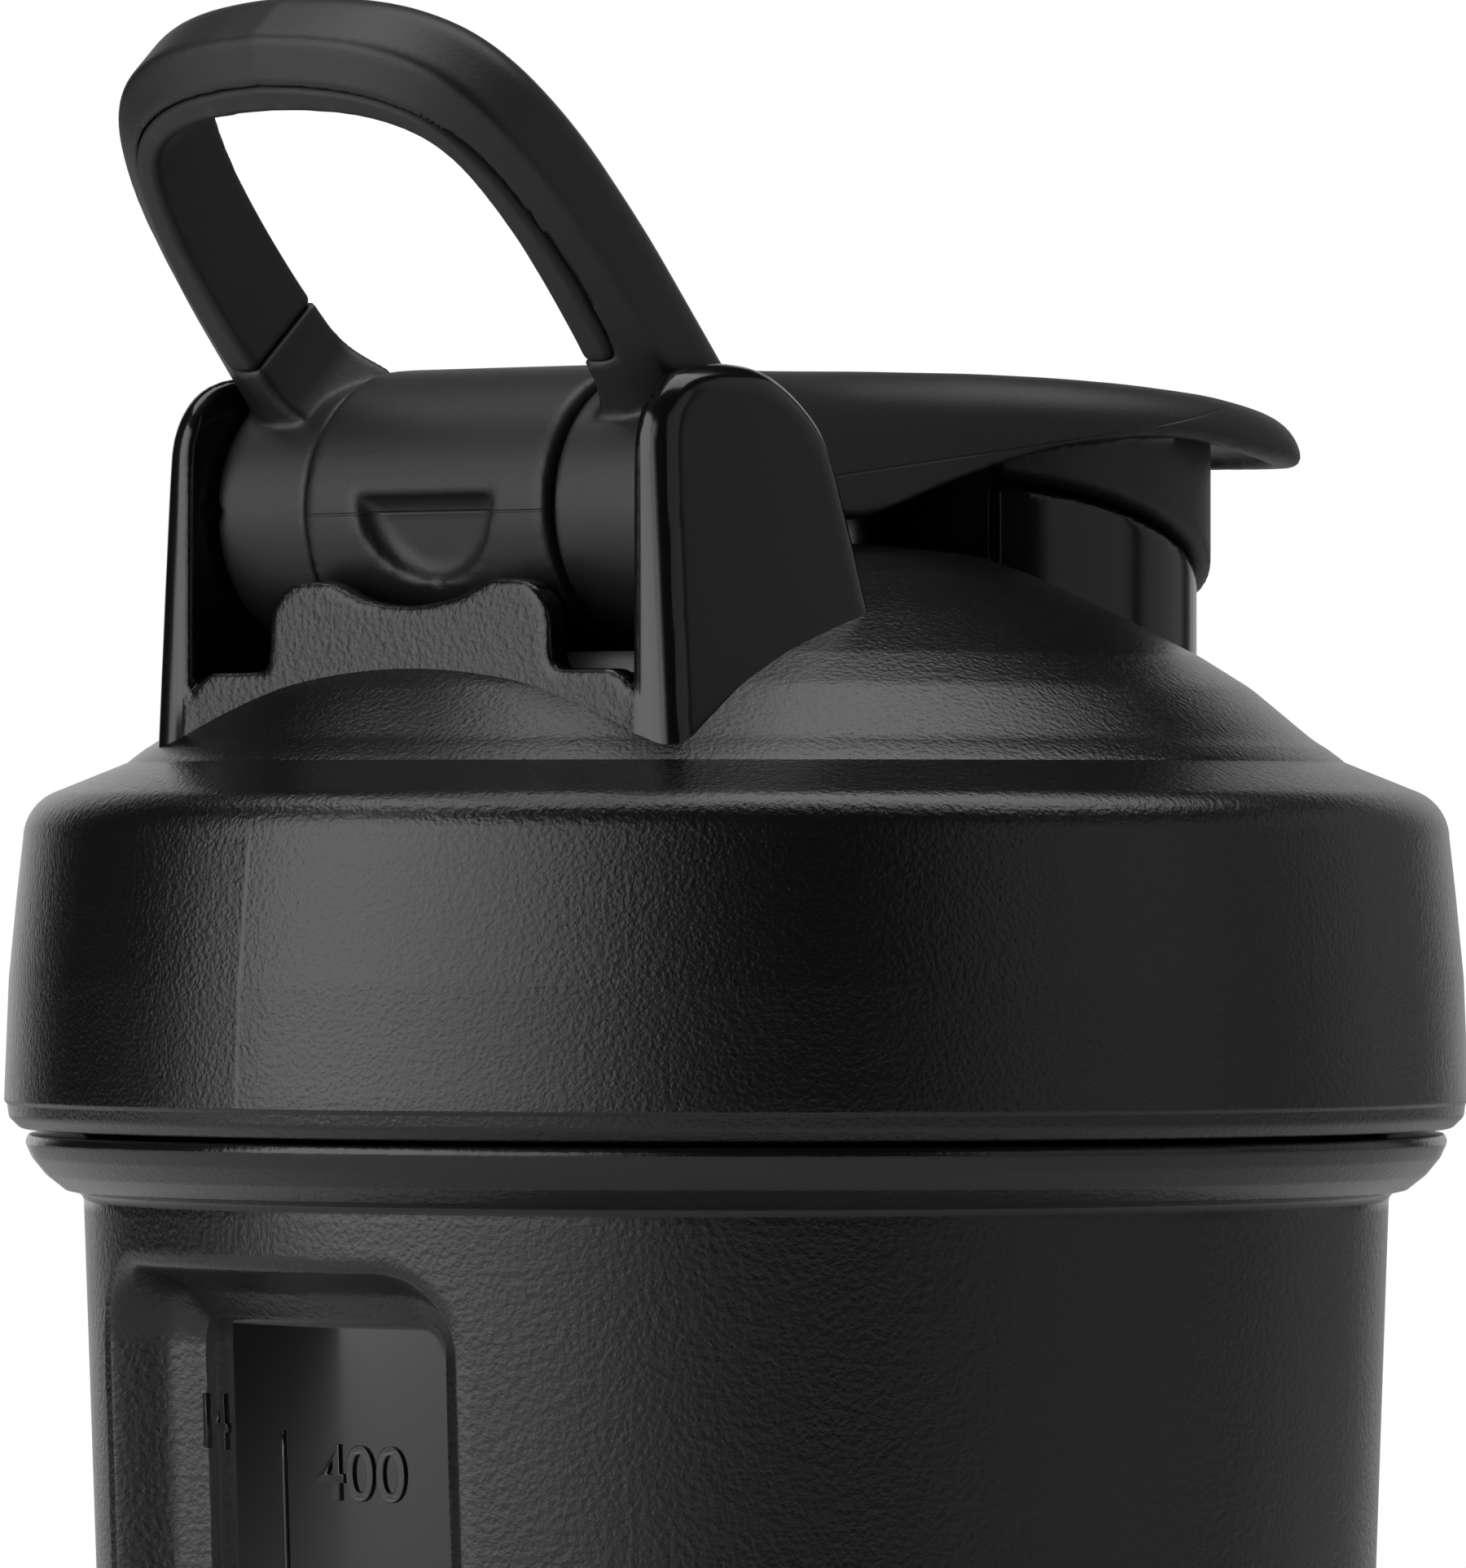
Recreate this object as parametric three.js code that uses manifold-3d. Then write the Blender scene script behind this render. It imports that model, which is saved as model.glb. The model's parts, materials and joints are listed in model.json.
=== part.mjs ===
// A protein shaker: a tapered jar with a threaded neck, a screw lid with a flip cap over its
// spout, a carry loop on the cap's hinge line, and a loose wire whisk ball inside.
// Millimetres, +Z up. The origin is the centre of the jar's foot. The hinge is on the -Y side,
// its axis runs along X, and the spout is on the +Y side.
import * as THREE from "three";
import { mergeVertices } from "three/addons/utils/BufferGeometryUtils.js";
import Module from "manifold-3d";

const wasm = await Module();
wasm.setup();

// Clearances
const touchGap = 0.3; // between pieces that rest on each other
const slideGap = 0.5; // between pieces that move past each other

// Jar
const shoulderHeight = 119.3; // foot to the top of the collar that the lid meets
const baseRadius = 37.1;
const footRounding = 3;
const jarWall = 2.2;
const floorThickness = 2.6;
const footRingWidth = 5;
const footRecess = 1.6;
const collarOverlap = 3.7; // how far the collar stands out from the jar wall
const collarDrop = 3.6;
const neckHeight = 16.9;
const neckStep = 0.25; // the neck is this much smaller than the wall below it

// Window with the volume scale, a recess in the jar wall that bulges inside
const windowAngle = -98; // degrees about Z from +X
const windowWidth = 33.5;
const windowInset = 7.8; // collar's top to the recess's upper edge
const windowBottom = 17;
const windowCorner = 5.2;
const windowDepth = 5.3; // jar wall to the window's floor
const ledgeDepth = 3.7; // jar wall to the ledge round the floor
const ledgeWidth = 1.8;

// Screw thread, two starts
const threadPitch = 4;
const threadStarts = 2;
const threadDepth = 1.5;
const threadRoot = 2.2; // axial width at the wall
const threadCrest = 1.2;
const threadSweep = 200; // degrees of each start
const threadRise = 6.7; // collar to the lower end of the jar's thread

// Lid
const lidRadius = 46.1;
const skirtWall = 3.1;
const lidWall = 2.1;
const sealThickness = 1.6;
const plugWall = 1.6;
const plugDepth = 3.5; // how far the plug ring reaches below the rim
const creaseHeight = 23; // skirt's lower edge to the crease below the dome
const creaseInset = 7.9;

// Hinge line
const hingeY = -20.6;
const hingeRise = 38.5; // above the skirt's lower edge
const barrelRadius = 8.8;
const barrelLength = 19.8;
const hubRadius = 8.3;
const hubLength = 7.8;
const pinRadius = 3;
const pinLength = 2.2;
const towerWall = 3.7;
const towerDraft = 1.6; // lean of the outer faces over the tower's height
const webBack = 10.2; // hinge axis to the back face of the web
const webThickness = 1.9;
const gapWidth = 6.7; // slots in the web that the loop's legs swing through

// Spout
const spoutY = 23.4;
const spoutRadius = 14.2; // raised shell
const shellThickness = 2;
const tubeWall = 2;
const mouthLip = 2.6; // tube above the shell's ledge
const shellOpening = 90; // degrees of the shell left open towards the hinge
const ledgeRise = 40.8; // above the skirt's lower edge, where the ledge is highest
const ledgeSlope = 0.15;
const ledgeBend = 0.0079;
const ledgeStart = -9.9; // where the slope starts, from the spout's centre

// Flip cap
const skirtOverhang = 0.9; // the cap's skirt stands out this far from the spout's shell
const capPlay = 0.9; // the skirt's room round the spout's tube
const hoodMargin = 2.7; // how much wider than the skirt the hood is, each side
const capRoof = 2;
const hoodLip = 5.1; // how far the hood's front edge passes the skirt
const bossRadius = 7;
const sealWall = 2.4;
const sealReach = 2; // how far the plug seal goes into the mouth
const notchRadius = 5.6;
const notchDepth = 2.6;

// Carry loop
const loopTilt = 41.4; // degrees back from upright at rest
const loopDepth = 7;
const loopSet = -2.3; // middle plane of the loop from the hinge axis, towards the back
const loopReach = 37.2;
const barHeight = 4.9;
const gripThickness = 2.2;
const gripStart = 12.2; // from the hinge axis

// Whisk ball
const ballRadius = 25;
const wireRadius = 1.1;
const ballTurns = 7;

// Facets, and the reach of blocks that only trim other solids
const roundSteps = 64;
const beyond = 30;

// Places that follow from the sizes above
const lidBase = shoulderHeight + touchGap;
const boreRadius = lidRadius - skirtWall;
const neckRadius = boreRadius - threadDepth - slideGap - 0.2;
const wallTopRadius = neckRadius + neckStep;
const wallTopHeight = shoulderHeight - collarDrop - 0.3;
const neckBore = neckRadius - jarWall + 0.1;
const rimHeight = shoulderHeight + neckHeight;
const threadLead = threadPitch * threadStarts;
const sealBottom = rimHeight + touchGap;
const ceiling = sealBottom + sealThickness + touchGap;
const plugRadius = neckBore - slideGap;
const creaseRadius = lidRadius - creaseInset;
const hingeZ = lidBase + hingeRise;
const barrelEnd = barrelLength / 2;
const hubStart = barrelEnd + touchGap;
const hubEnd = hubStart + hubLength;
const towerInner = hubEnd + touchGap;
const towerOuter = towerInner + towerWall;
const tubeRadius = spoutRadius - shellThickness;
const mouthRadius = tubeRadius - tubeWall;
const capSkirtRadius = spoutRadius + skirtOverhang;
const capSkirtBore = tubeRadius + capPlay;
const windowTop = shoulderHeight - windowInset;
const turningRadius = Math.max(barrelRadius, hubRadius);
const pocketFront = hingeY + turningRadius + 0.7;
const pocketFloor = hingeZ - turningRadius - 1.4;
const floorTop = footRecess + floorThickness;

// Manifold solid of a closed three.js geometry
function solid(geometry) {
  const bare = new THREE.BufferGeometry();
  bare.setAttribute("position", geometry.getAttribute("position"));
  bare.setIndex(geometry.index);
  const merged = mergeVertices(bare, 1e-4);
  const corners = merged.index.array;
  const kept = [];
  for (let i = 0; i < corners.length; i += 3) {
    const [a, b, c] = [corners[i], corners[i + 1], corners[i + 2]];
    if (a !== b && b !== c && c !== a) kept.push(a, b, c);
  }
  const mesh = new wasm.Mesh({
    numProp: 3,
    vertProperties: merged.attributes.position.array,
    triVerts: new Uint32Array(kept),
  });
  return new wasm.Manifold(mesh);
}

// Named mesh of a Manifold solid
function piece(name, shape, colour, roughness, metalness = 0) {
  const mesh = shape.getMesh();
  const geometry = new THREE.BufferGeometry();
  geometry.setAttribute("position", new THREE.BufferAttribute(mesh.vertProperties, 3));
  geometry.setIndex(new THREE.BufferAttribute(mesh.triVerts, 1));
  geometry.computeVertexNormals();
  const material = new THREE.MeshStandardMaterial({ color: colour, roughness, metalness });
  const made = new THREE.Mesh(geometry, material);
  made.name = name;
  return made;
}

function shapeOf(points) {
  return new THREE.Shape(points.map(([x, y]) => new THREE.Vector2(x, y)));
}

// Solid of revolution about Z: [radius, height] points, up the outside first
function turned(profile) {
  const points = profile.map(([r, z]) => new THREE.Vector2(r, z));
  const geometry = new THREE.LatheGeometry(points, roundSteps);
  geometry.rotateX(Math.PI / 2);
  return solid(geometry);
}

// Upright prism of an outline in X and Y
function uprightPrism(points, bottom, top) {
  const geometry = new THREE.ExtrudeGeometry(shapeOf(points), {
    depth: top - bottom,
    bevelEnabled: false,
  });
  geometry.translate(0, 0, bottom);
  return solid(geometry);
}

// Prism along X of a profile in Y and Z
function sidePrism(points, left, right) {
  const geometry = new THREE.ExtrudeGeometry(shapeOf(points), {
    depth: right - left,
    bevelEnabled: false,
  });
  geometry.translate(0, 0, left);
  const turn = new THREE.Matrix4().makeBasis(
    new THREE.Vector3(0, 1, 0),
    new THREE.Vector3(0, 0, 1),
    new THREE.Vector3(1, 0, 0),
  );
  geometry.applyMatrix4(turn);
  return solid(geometry);
}

// Prism along Y of an outline in X and Z
function backPrism(points, back, front) {
  const geometry = new THREE.ExtrudeGeometry(shapeOf(points), {
    depth: front - back,
    bevelEnabled: false,
  });
  geometry.rotateX(Math.PI / 2);
  geometry.translate(0, front, 0);
  return solid(geometry);
}

function box(left, right, back, front, bottom, top) {
  const geometry = new THREE.BoxGeometry(right - left, front - back, top - bottom);
  geometry.translate((left + right) / 2, (back + front) / 2, (bottom + top) / 2);
  return solid(geometry);
}

function uprightCylinder(radius, y, bottom, top, steps = roundSteps) {
  const geometry = new THREE.CylinderGeometry(radius, radius, top - bottom, steps);
  geometry.rotateX(Math.PI / 2);
  geometry.translate(0, y, (bottom + top) / 2);
  return solid(geometry);
}

function crossCylinder(radius, left, right, y, z, steps = 40) {
  const geometry = new THREE.CylinderGeometry(radius, radius, right - left, steps);
  geometry.rotateZ(Math.PI / 2);
  geometry.translate((left + right) / 2, y, z);
  return solid(geometry);
}

// One start of a right-hand thread: a box bent round Z, thinned out at both ends
function threadStart(wall, crest, embed, startAngle, height) {
  const steps = 28;
  const outward = crest > wall;
  const geometry = new THREE.BoxGeometry(1, 1, 1, steps, 1, 1);
  const place = geometry.getAttribute("position");
  for (let i = 0; i < place.count; i += 1) {
    const along = place.getX(i) + 0.5;
    const angle = THREE.MathUtils.degToRad(startAngle + threadSweep * along);
    const atCrest = place.getZ(i) > 0 === outward;
    const fade = Math.min(1, along * 8, (1 - along) * 8);
    const sign = outward ? 1 : -1;
    const faded = wall + (crest - wall) * fade - sign * 0.2 * (1 - fade);
    const radius = atCrest ? faded : wall - sign * embed;
    const width = atCrest ? threadCrest : threadRoot;
    const rise = height + (threadLead * threadSweep * along) / 360;
    place.setXYZ(
      i,
      radius * Math.cos(angle),
      radius * Math.sin(angle),
      rise + place.getY(i) * width,
    );
  }
  return solid(geometry);
}

// Adds every start of a thread to a solid
function threaded(shape, wall, crest, height) {
  let made = shape;
  for (let start = 0; start < threadStarts; start += 1) {
    made = made.add(threadStart(wall, crest, 0.5, (360 / threadStarts) * start, height));
  }
  return made;
}

function mirrored(points) {
  return [...points, ...points.map(([x, y]) => [-x, y]).reverse()];
}

// Rounded rectangle, anticlockwise
function roundedRect(width, bottom, top, corner) {
  const points = [];
  const centres = [
    [width / 2 - corner, bottom + corner, -90],
    [width / 2 - corner, top - corner, 0],
    [corner - width / 2, top - corner, 90],
    [corner - width / 2, bottom + corner, 180],
  ];
  for (const [x, y, from] of centres) {
    for (let step = 0; step <= 5; step += 1) {
      const angle = THREE.MathUtils.degToRad(from + step * 18);
      points.push([x + corner * Math.cos(angle), y + corner * Math.sin(angle)]);
    }
  }
  return points;
}

// Jar wall's outer radius at a height
function wallRadius(height) {
  return baseRadius + ((wallTopRadius - baseRadius) * height) / wallTopHeight;
}

// Height of the spout's ledge at a place along Y
function ledgeHeight(y) {
  const along = y - spoutY - ledgeStart;
  return lidBase + ledgeRise - ledgeSlope * along - ledgeBend * along * along;
}

// Everything under the ledge's curve, moved up by an offset
function underLedge(offset) {
  const points = [];
  const back = spoutY - spoutRadius - 6;
  const front = spoutY + spoutRadius + 6;
  points.push([back, lidBase], [front, lidBase]);
  for (let step = 0; step <= 16; step += 1) {
    const y = front + ((back - front) * step) / 16;
    points.push([y, ledgeHeight(y) + offset]);
  }
  return sidePrism(points, -beyond, beyond);
}

// Wedge that opens the spout's shell and the cap's skirt towards the hinge
function openingWedge() {
  const reach = 2 * spoutRadius;
  const half = THREE.MathUtils.degToRad(shellOpening / 2);
  const side = reach * Math.sin(half);
  const back = spoutY - reach * Math.cos(half);
  const outline = [[0, spoutY], [-side, back], [side, back]];
  return uprightPrism(outline, lidBase, hingeZ + beyond);
}

// Box bent round the jar between two depths below the wall's surface, trimmed to the window's
// outline after that is made larger by a margin
function windowBlock(outerDepth, innerDepth, margin) {
  const bent = new THREE.BoxGeometry(1, 1, 1, 16, 1, 1);
  const place = bent.getAttribute("position");
  const halfAngle = Math.asin((windowWidth / 2 + margin) / baseRadius) + 0.12;
  for (let i = 0; i < place.count; i += 1) {
    const angle = place.getX(i) * 2 * halfAngle;
    const height = place.getY(i) > 0 ? windowTop + 6 : windowBottom - 6;
    const radius = wallRadius(height) - (place.getZ(i) > 0 ? outerDepth : innerDepth);
    place.setXYZ(i, radius * Math.sin(angle), -radius * Math.cos(angle), height);
  }
  const outline = roundedRect(
    windowWidth + 2 * margin,
    windowBottom - margin,
    windowTop + margin,
    windowCorner + margin,
  );
  const frame = backPrism(outline, -baseRadius - 20, -baseRadius / 2);
  return solid(bent).intersect(frame).rotate([0, 0, windowAngle + 90]);
}

function jar() {
  const collar = wallTopRadius + collarOverlap;
  const profile = [
    [0, footRecess],
    [baseRadius - footRounding - footRingWidth, footRecess],
    [baseRadius - footRounding - footRingWidth + 1.5, 0],
    [baseRadius - footRounding, 0],
    [baseRadius - 0.9, 0.9],
    [baseRadius, footRounding],
    [wallTopRadius, wallTopHeight],
    [collar - 3.5, shoulderHeight - collarDrop],
    [collar - 1.3, shoulderHeight - 2.6],
    [collar - 0.4, shoulderHeight - 1.5],
    [collar, shoulderHeight - 0.6],
    [collar - 0.3, shoulderHeight],
    [neckRadius, shoulderHeight],
    [neckRadius, rimHeight - 0.6],
    [neckRadius - 0.6, rimHeight],
    [neckBore + 0.3, rimHeight],
    [neckBore, rimHeight - 0.4],
    [neckBore, shoulderHeight],
    [wallRadius(floorTop + 6) - jarWall, floorTop + 6],
    [wallRadius(floorTop) - jarWall - 1.5, floorTop + 1.5],
    [wallRadius(floorTop) - jarWall - 6, floorTop],
    [0, floorTop],
  ];
  const blank = threaded(
    turned(profile),
    neckRadius,
    neckRadius + threadDepth,
    shoulderHeight + threadRise,
  );
  return blank
    .add(windowBlock(jarWall / 2, windowDepth + jarWall, jarWall))
    .subtract(windowBlock(-6, ledgeDepth, 0))
    .subtract(windowBlock(-6, windowDepth, -ledgeWidth));
}

// Outer side of the lid above the skirt, as [inset from the crease, rise above the crease]
const domeSteps = [
  [1.9, 1.7],
  [5.8, 4.7],
  [9, 6.6],
  [14.5, 9.4],
  [19.7, 11.8],
  [22.8, 12.9],
  [28.3, 13.6],
];
const domeCentre = 14;

function lidOuter() {
  const crease = lidBase + creaseHeight;
  return turned([
    [0, lidBase],
    [lidRadius - 0.9, lidBase],
    [lidRadius - 0.1, lidBase + 0.7],
    [lidRadius, lidBase + 2.2],
    [lidRadius - 0.3, lidBase + 9.4],
    [lidRadius - 0.9, lidBase + 14.6],
    [lidRadius - 1.4, lidBase + 18.3],
    [lidRadius - 1.8, lidBase + 19.6],
    [lidRadius - 2.7, lidBase + 20.4],
    [lidRadius - 4.1, lidBase + 21],
    [lidRadius - 6.5, lidBase + 22.3],
    [creaseRadius, crease],
    ...domeSteps.map(([inset, rise]) => [creaseRadius - inset, crease + rise]),
    [0, crease + domeCentre],
  ]);
}

// Hollow of the lid, above the plug ring and around it
function lidHollow() {
  const crease = lidBase + creaseHeight - lidWall;
  const inner = plugRadius - plugWall;
  return turned([
    [0, lidBase - 1],
    [boreRadius, lidBase - 1],
    [boreRadius, ceiling],
    [plugRadius, ceiling],
    [plugRadius, rimHeight - plugDepth],
    [inner, rimHeight - plugDepth],
    [inner, crease],
    ...domeSteps.slice(2).map(([inset, rise]) => [creaseRadius - inset - 0.7, crease + rise]),
    [0, crease + domeCentre],
  ]);
}

// Side profile of the towers, from the hinge axis
const towerProfile = [
  [-10.2, 3.3],
  [-9.6, 5.9],
  [-7.6, 7.9],
  [-3.9, 8.6],
  [-0.4, 8.5],
  [2, 7.7],
  [4.6, 5.9],
  [6.3, 3.9],
  [7.8, -0.9],
  [9.3, -6.1],
  [10.4, -9.6],
];

function towers() {
  const bottom = lidBase + creaseHeight - 3;
  const top = hingeZ + barrelRadius;
  const outline = [
    [hingeY - webBack, bottom],
    [hingeY + 10.4, bottom],
    ...towerProfile.map(([y, z]) => [hingeY + y, hingeZ + z]).reverse(),
  ];
  const block = sidePrism(outline, -towerOuter, towerOuter);
  const lean = backPrism(
    [
      [-towerOuter, bottom - 1],
      [towerOuter, bottom - 1],
      [towerOuter, bottom + 3],
      [towerOuter - towerDraft, top + 1],
      [-towerOuter + towerDraft, top + 1],
      [-towerOuter, bottom + 3],
    ],
    hingeY - 20,
    hingeY + 20,
  );
  const between = box(-towerInner, towerInner, hingeY - 20, hingeY + 20, bottom - 1, top + 5);
  return block.intersect(lean).subtract(between);
}

// Wall behind the hinge line, with a finger scoop and two slots for the loop's legs
function web() {
  const bottom = lidBase + creaseHeight - 3;
  const top = hingeZ - 4.4;
  const slotBottom = hingeZ - 10;
  const post = towerInner - gapWidth;
  const right = [
    [towerInner + 0.5, bottom],
    [towerInner + 0.5, slotBottom],
    [post + 0.8, slotBottom],
    [post, slotBottom + 0.8],
    [post, top - 2.3],
    [post - 0.7, top - 0.7],
    [post - 2.3, top],
    [6.2, top],
    [4.6, top - 0.9],
    [2.4, top - 1.4],
    [0.01, top - 1.5],
  ];
  return backPrism(mirrored(right), hingeY - webBack, hingeY - webBack + webThickness);
}

function lid() {
  const dome = lidBase + creaseHeight + 5;
  const shell = uprightCylinder(spoutRadius, spoutY, dome - 4, hingeZ + beyond)
    .subtract(openingWedge())
    .intersect(underLedge(-touchGap / 2));
  const tube = uprightCylinder(tubeRadius, spoutY, dome - 4, hingeZ + beyond)
    .intersect(underLedge(mouthLip));
  const sides = towerInner + 1.8;
  const back = hingeY - webBack;
  const pocketBlock = box(-sides, sides, back, pocketFront + 1.8, pocketFloor - 1.8, hingeZ);
  const hollow = lidHollow().subtract(pocketBlock);
  const pocket = box(
    -towerInner,
    towerInner,
    back + webThickness,
    pocketFront,
    pocketFloor,
    hingeZ + beyond,
  );
  let made = lidOuter().add(towers()).add(shell).add(tube).subtract(pocket).add(web());
  for (const side of [-1, 1]) {
    const slot = towerInner - gapWidth / 2;
    made = made.subtract(
      box(
        side * slot - gapWidth / 2,
        side * slot + gapWidth / 2,
        back - 8,
        back + webThickness + 1,
        hingeZ - 10,
        hingeZ,
      ),
    );
    const hole = towerInner + pinLength + touchGap;
    made = made.subtract(
      side > 0
        ? crossCylinder(pinRadius + touchGap, towerInner - 1, hole, hingeY, hingeZ, 24)
        : crossCylinder(pinRadius + touchGap, -hole, 1 - towerInner, hingeY, hingeZ, 24),
    );
  }
  made = made.subtract(hollow);
  made = made.subtract(uprightCylinder(mouthRadius, spoutY, dome - 10, hingeZ + beyond));
  return threaded(
    made,
    boreRadius,
    boreRadius - threadDepth,
    shoulderHeight + threadRise - threadPitch / 2,
  );
}

function lidSeal() {
  const inner = plugRadius + touchGap;
  const outer = boreRadius - touchGap;
  return turned([
    [inner, sealBottom],
    [outer, sealBottom],
    [outer, sealBottom + sealThickness],
    [inner, sealBottom + sealThickness],
    [inner, sealBottom],
  ]);
}

// Right half of the hood's outline seen from above: [half width, distance from the hinge axis]
const hoodOutline = [
  [9.9, 0],
  [9.9, 12],
  [10.2, 20],
  [11.2, 26.5],
  [13.2, 32],
  [15.5, 37.5],
  [17.1, 43],
  [17.8, 49],
  [17.2, 54.5],
  [15.2, 58.8],
  [11.8, 61.8],
  [7, 63.6],
  [0.01, 64.2],
];

// Upper side of the arm and hood from the hinge axis: [along Y, rise]
const hoodTop = [
  [0, barrelRadius],
  [14, barrelRadius],
  [24.5, 9.1],
  [32.5, 9.2],
  [38, 9.1],
  [43.5, 8.85],
  [50, 8.35],
  [54, 7.8],
  [58.5, 7.1],
  [62, 6.4],
  [64.2, 5.6],
];

// Lower edge of the hood, front to back
const hoodRim = [
  [64.2, 4.2],
  [63, 3.6],
  [58.5, 3.5],
  [54.5, 3.8],
  [50.5, 4.4],
  [46.5, 5.2],
  [43, 5.05],
  [38.4, 4.5],
  [33, 3.15],
  [27.7, 1.3],
  [22, -0.3],
  [16, -0.4],
  [turningRadius + 0.4, -0.4],
  [barrelRadius - 0.6, -3],
  [0, -5],
];

// The hood is stretched so that its front edge stays ahead of the spout, and widened with it
const hoodStretch = (spoutY + capSkirtRadius + hoodLip - hingeY) / 64.2;
const hoodWiden = (capSkirtRadius + hoodMargin) / 17.8;
const armEnd = 20; // distance from the hinge axis where the arm becomes the hood
const frontBend = 40; // distance where the hood's front starts to turn in

// A side profile given from the hinge axis, put in place and moved down
function fromHinge(points, drop = 0) {
  return points.map(([y, z]) => [hingeY + y * hoodStretch, hingeZ + z - drop]);
}

// Everything under the hood's upper side, moved down
function underHood(drop, back) {
  const roof = fromHinge([...hoodTop].reverse(), drop).filter(([y]) => y > back);
  const outline = [[back, lidBase], [roof[0][0], lidBase], ...roof, [back, roof.at(-1)[1]]];
  return sidePrism(outline, -beyond, beyond);
}

function hoodPlan(inset) {
  const half = hoodOutline.map(([x, y], i) => {
    const wide = x * (y > armEnd ? hoodWiden : 1) - inset;
    const frontInset = (inset * Math.max(0, y - frontBend)) / (64.2 - frontBend);
    const onMiddle = i === hoodOutline.length - 1;
    return [onMiddle ? x : wide, hingeY + y * hoodStretch - frontInset];
  });
  return uprightPrism(mirrored(half), lidBase, hingeZ + beyond);
}

// Finger scoop in the back of the barrel: flat on top, round below
function fingerNotch() {
  const points = [];
  for (let step = 0; step <= 14; step += 1) {
    const angle = Math.PI + (Math.PI * step) / 14;
    points.push([notchRadius * Math.cos(angle), hingeZ + 0.9 + notchRadius * Math.sin(angle)]);
  }
  const back = hingeY - barrelRadius - 3;
  return backPrism(points, back, hingeY - barrelRadius + notchDepth);
}

function flipCap() {
  const rim = fromHinge([...hoodRim].reverse());
  const side = sidePrism([...rim, ...fromHinge([...hoodTop].reverse())], -beyond, beyond);
  const hood = hoodPlan(0).intersect(side);
  const hollowBack = spoutY - capSkirtRadius - 3;
  const hollow = hoodPlan(capRoof).intersect(underHood(capRoof, hollowBack));
  const barrel = crossCylinder(barrelRadius, -barrelEnd, barrelEnd, hingeY, hingeZ);
  const above = underHood(1, hingeY);
  const bottom = lidBase + creaseHeight;
  const skirt = uprightCylinder(capSkirtRadius, spoutY, bottom, hingeZ + beyond)
    .subtract(uprightCylinder(capSkirtBore, spoutY, lidBase, hingeZ + beyond + 1))
    .subtract(openingWedge())
    .subtract(underLedge(touchGap / 2))
    .intersect(above);
  const boss = uprightCylinder(bossRadius, spoutY, bottom, hingeZ + beyond, 40)
    .subtract(underLedge(mouthLip - sealReach + sealWall))
    .intersect(above);
  let made = hood.subtract(hollow).add(barrel).add(skirt).add(boss).subtract(fingerNotch());
  const pinEnd = barrelEnd - pinLength - touchGap;
  for (const [from, to] of [[pinEnd, barrelEnd + 1], [-barrelEnd - 1, -pinEnd]]) {
    made = made.subtract(crossCylinder(pinRadius + touchGap, from, to, hingeY, hingeZ, 24));
  }
  return made;
}

function capSeal() {
  const bottom = lidBase + creaseHeight;
  const cup = uprightCylinder(mouthRadius - slideGap, spoutY, bottom, hingeZ + beyond, 48)
    .subtract(underLedge(mouthLip - sealReach))
    .intersect(underHood(capRoof + touchGap, hingeY));
  const seat = uprightCylinder(bossRadius + touchGap, spoutY, lidBase, hingeZ + beyond, 40)
    .subtract(underLedge(mouthLip - sealReach + sealWall - touchGap));
  return cup.subtract(seat);
}

// Carry loop outlines in its own plane: [half width, distance from the hinge axis]
const loopOuter = [
  [18, 0],
  [18, 13.5],
  [18.2, 17],
  [17.9, 22.4],
  [17, 27.4],
  [15, 32.2],
  [11.8, 34.9],
  [6.2, 36.6],
];
const loopInner = [
  [6.8, 31.8],
  [9.7, 30.6],
  [11.9, 28.2],
  [13.2, 24.2],
  [13.5, 19.3],
  [13.5, 16.4],
  [13.4, 13.9],
  [13.2, gripStart],
];
const gripLine = [
  [5.4, 33.8],
  [8.8, 32.9],
  [11.1, 31.7],
  [13.3, 29.5],
  [14.8, 26.2],
  [15.6, 21.6],
  [16, 16],
  [15.9, gripStart],
];

// Places an outline of the loop's plane, with a depth, on the tilted plane
function loopPlate(points, depth) {
  const widen = hubEnd / 18.1;
  const shape = shapeOf(points.map(([x, y]) => [x * widen, y]));
  const geometry = new THREE.ExtrudeGeometry(shape, { depth, bevelEnabled: false });
  // Outline's second axis becomes the loop's direction, its depth runs to the back
  geometry.rotateX(Math.PI / 2);
  geometry.translate(0, depth / 2 - loopSet, 0);
  geometry.rotateX(THREE.MathUtils.degToRad(loopTilt));
  geometry.translate(0, hingeY, hingeZ);
  return solid(geometry);
}

function loopFrame() {
  const plate = loopPlate(mirrored([...loopOuter, [0.01, loopReach]]), loopDepth);
  const hole = [
    [hubStart + 0.1, -1],
    [hubStart + 0.1, 6.6],
    [11.6, 7.9],
    [12.9, 9.9],
    [13.2, gripStart],
    ...[...gripLine].reverse(),
    [0.01, loopReach - barHeight + gripThickness],
  ];
  let made = plate.subtract(loopPlate(mirrored(hole), loopDepth + 4));
  for (const from of [hubStart, -hubEnd]) {
    const pinStart = from - pinLength;
    const pinEnd = from + hubLength + pinLength;
    made = made.add(crossCylinder(hubRadius, from, from + hubLength, hingeY, hingeZ));
    made = made.add(crossCylinder(pinRadius, pinStart, pinEnd, hingeY, hingeZ, 24));
  }
  return made;
}

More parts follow.
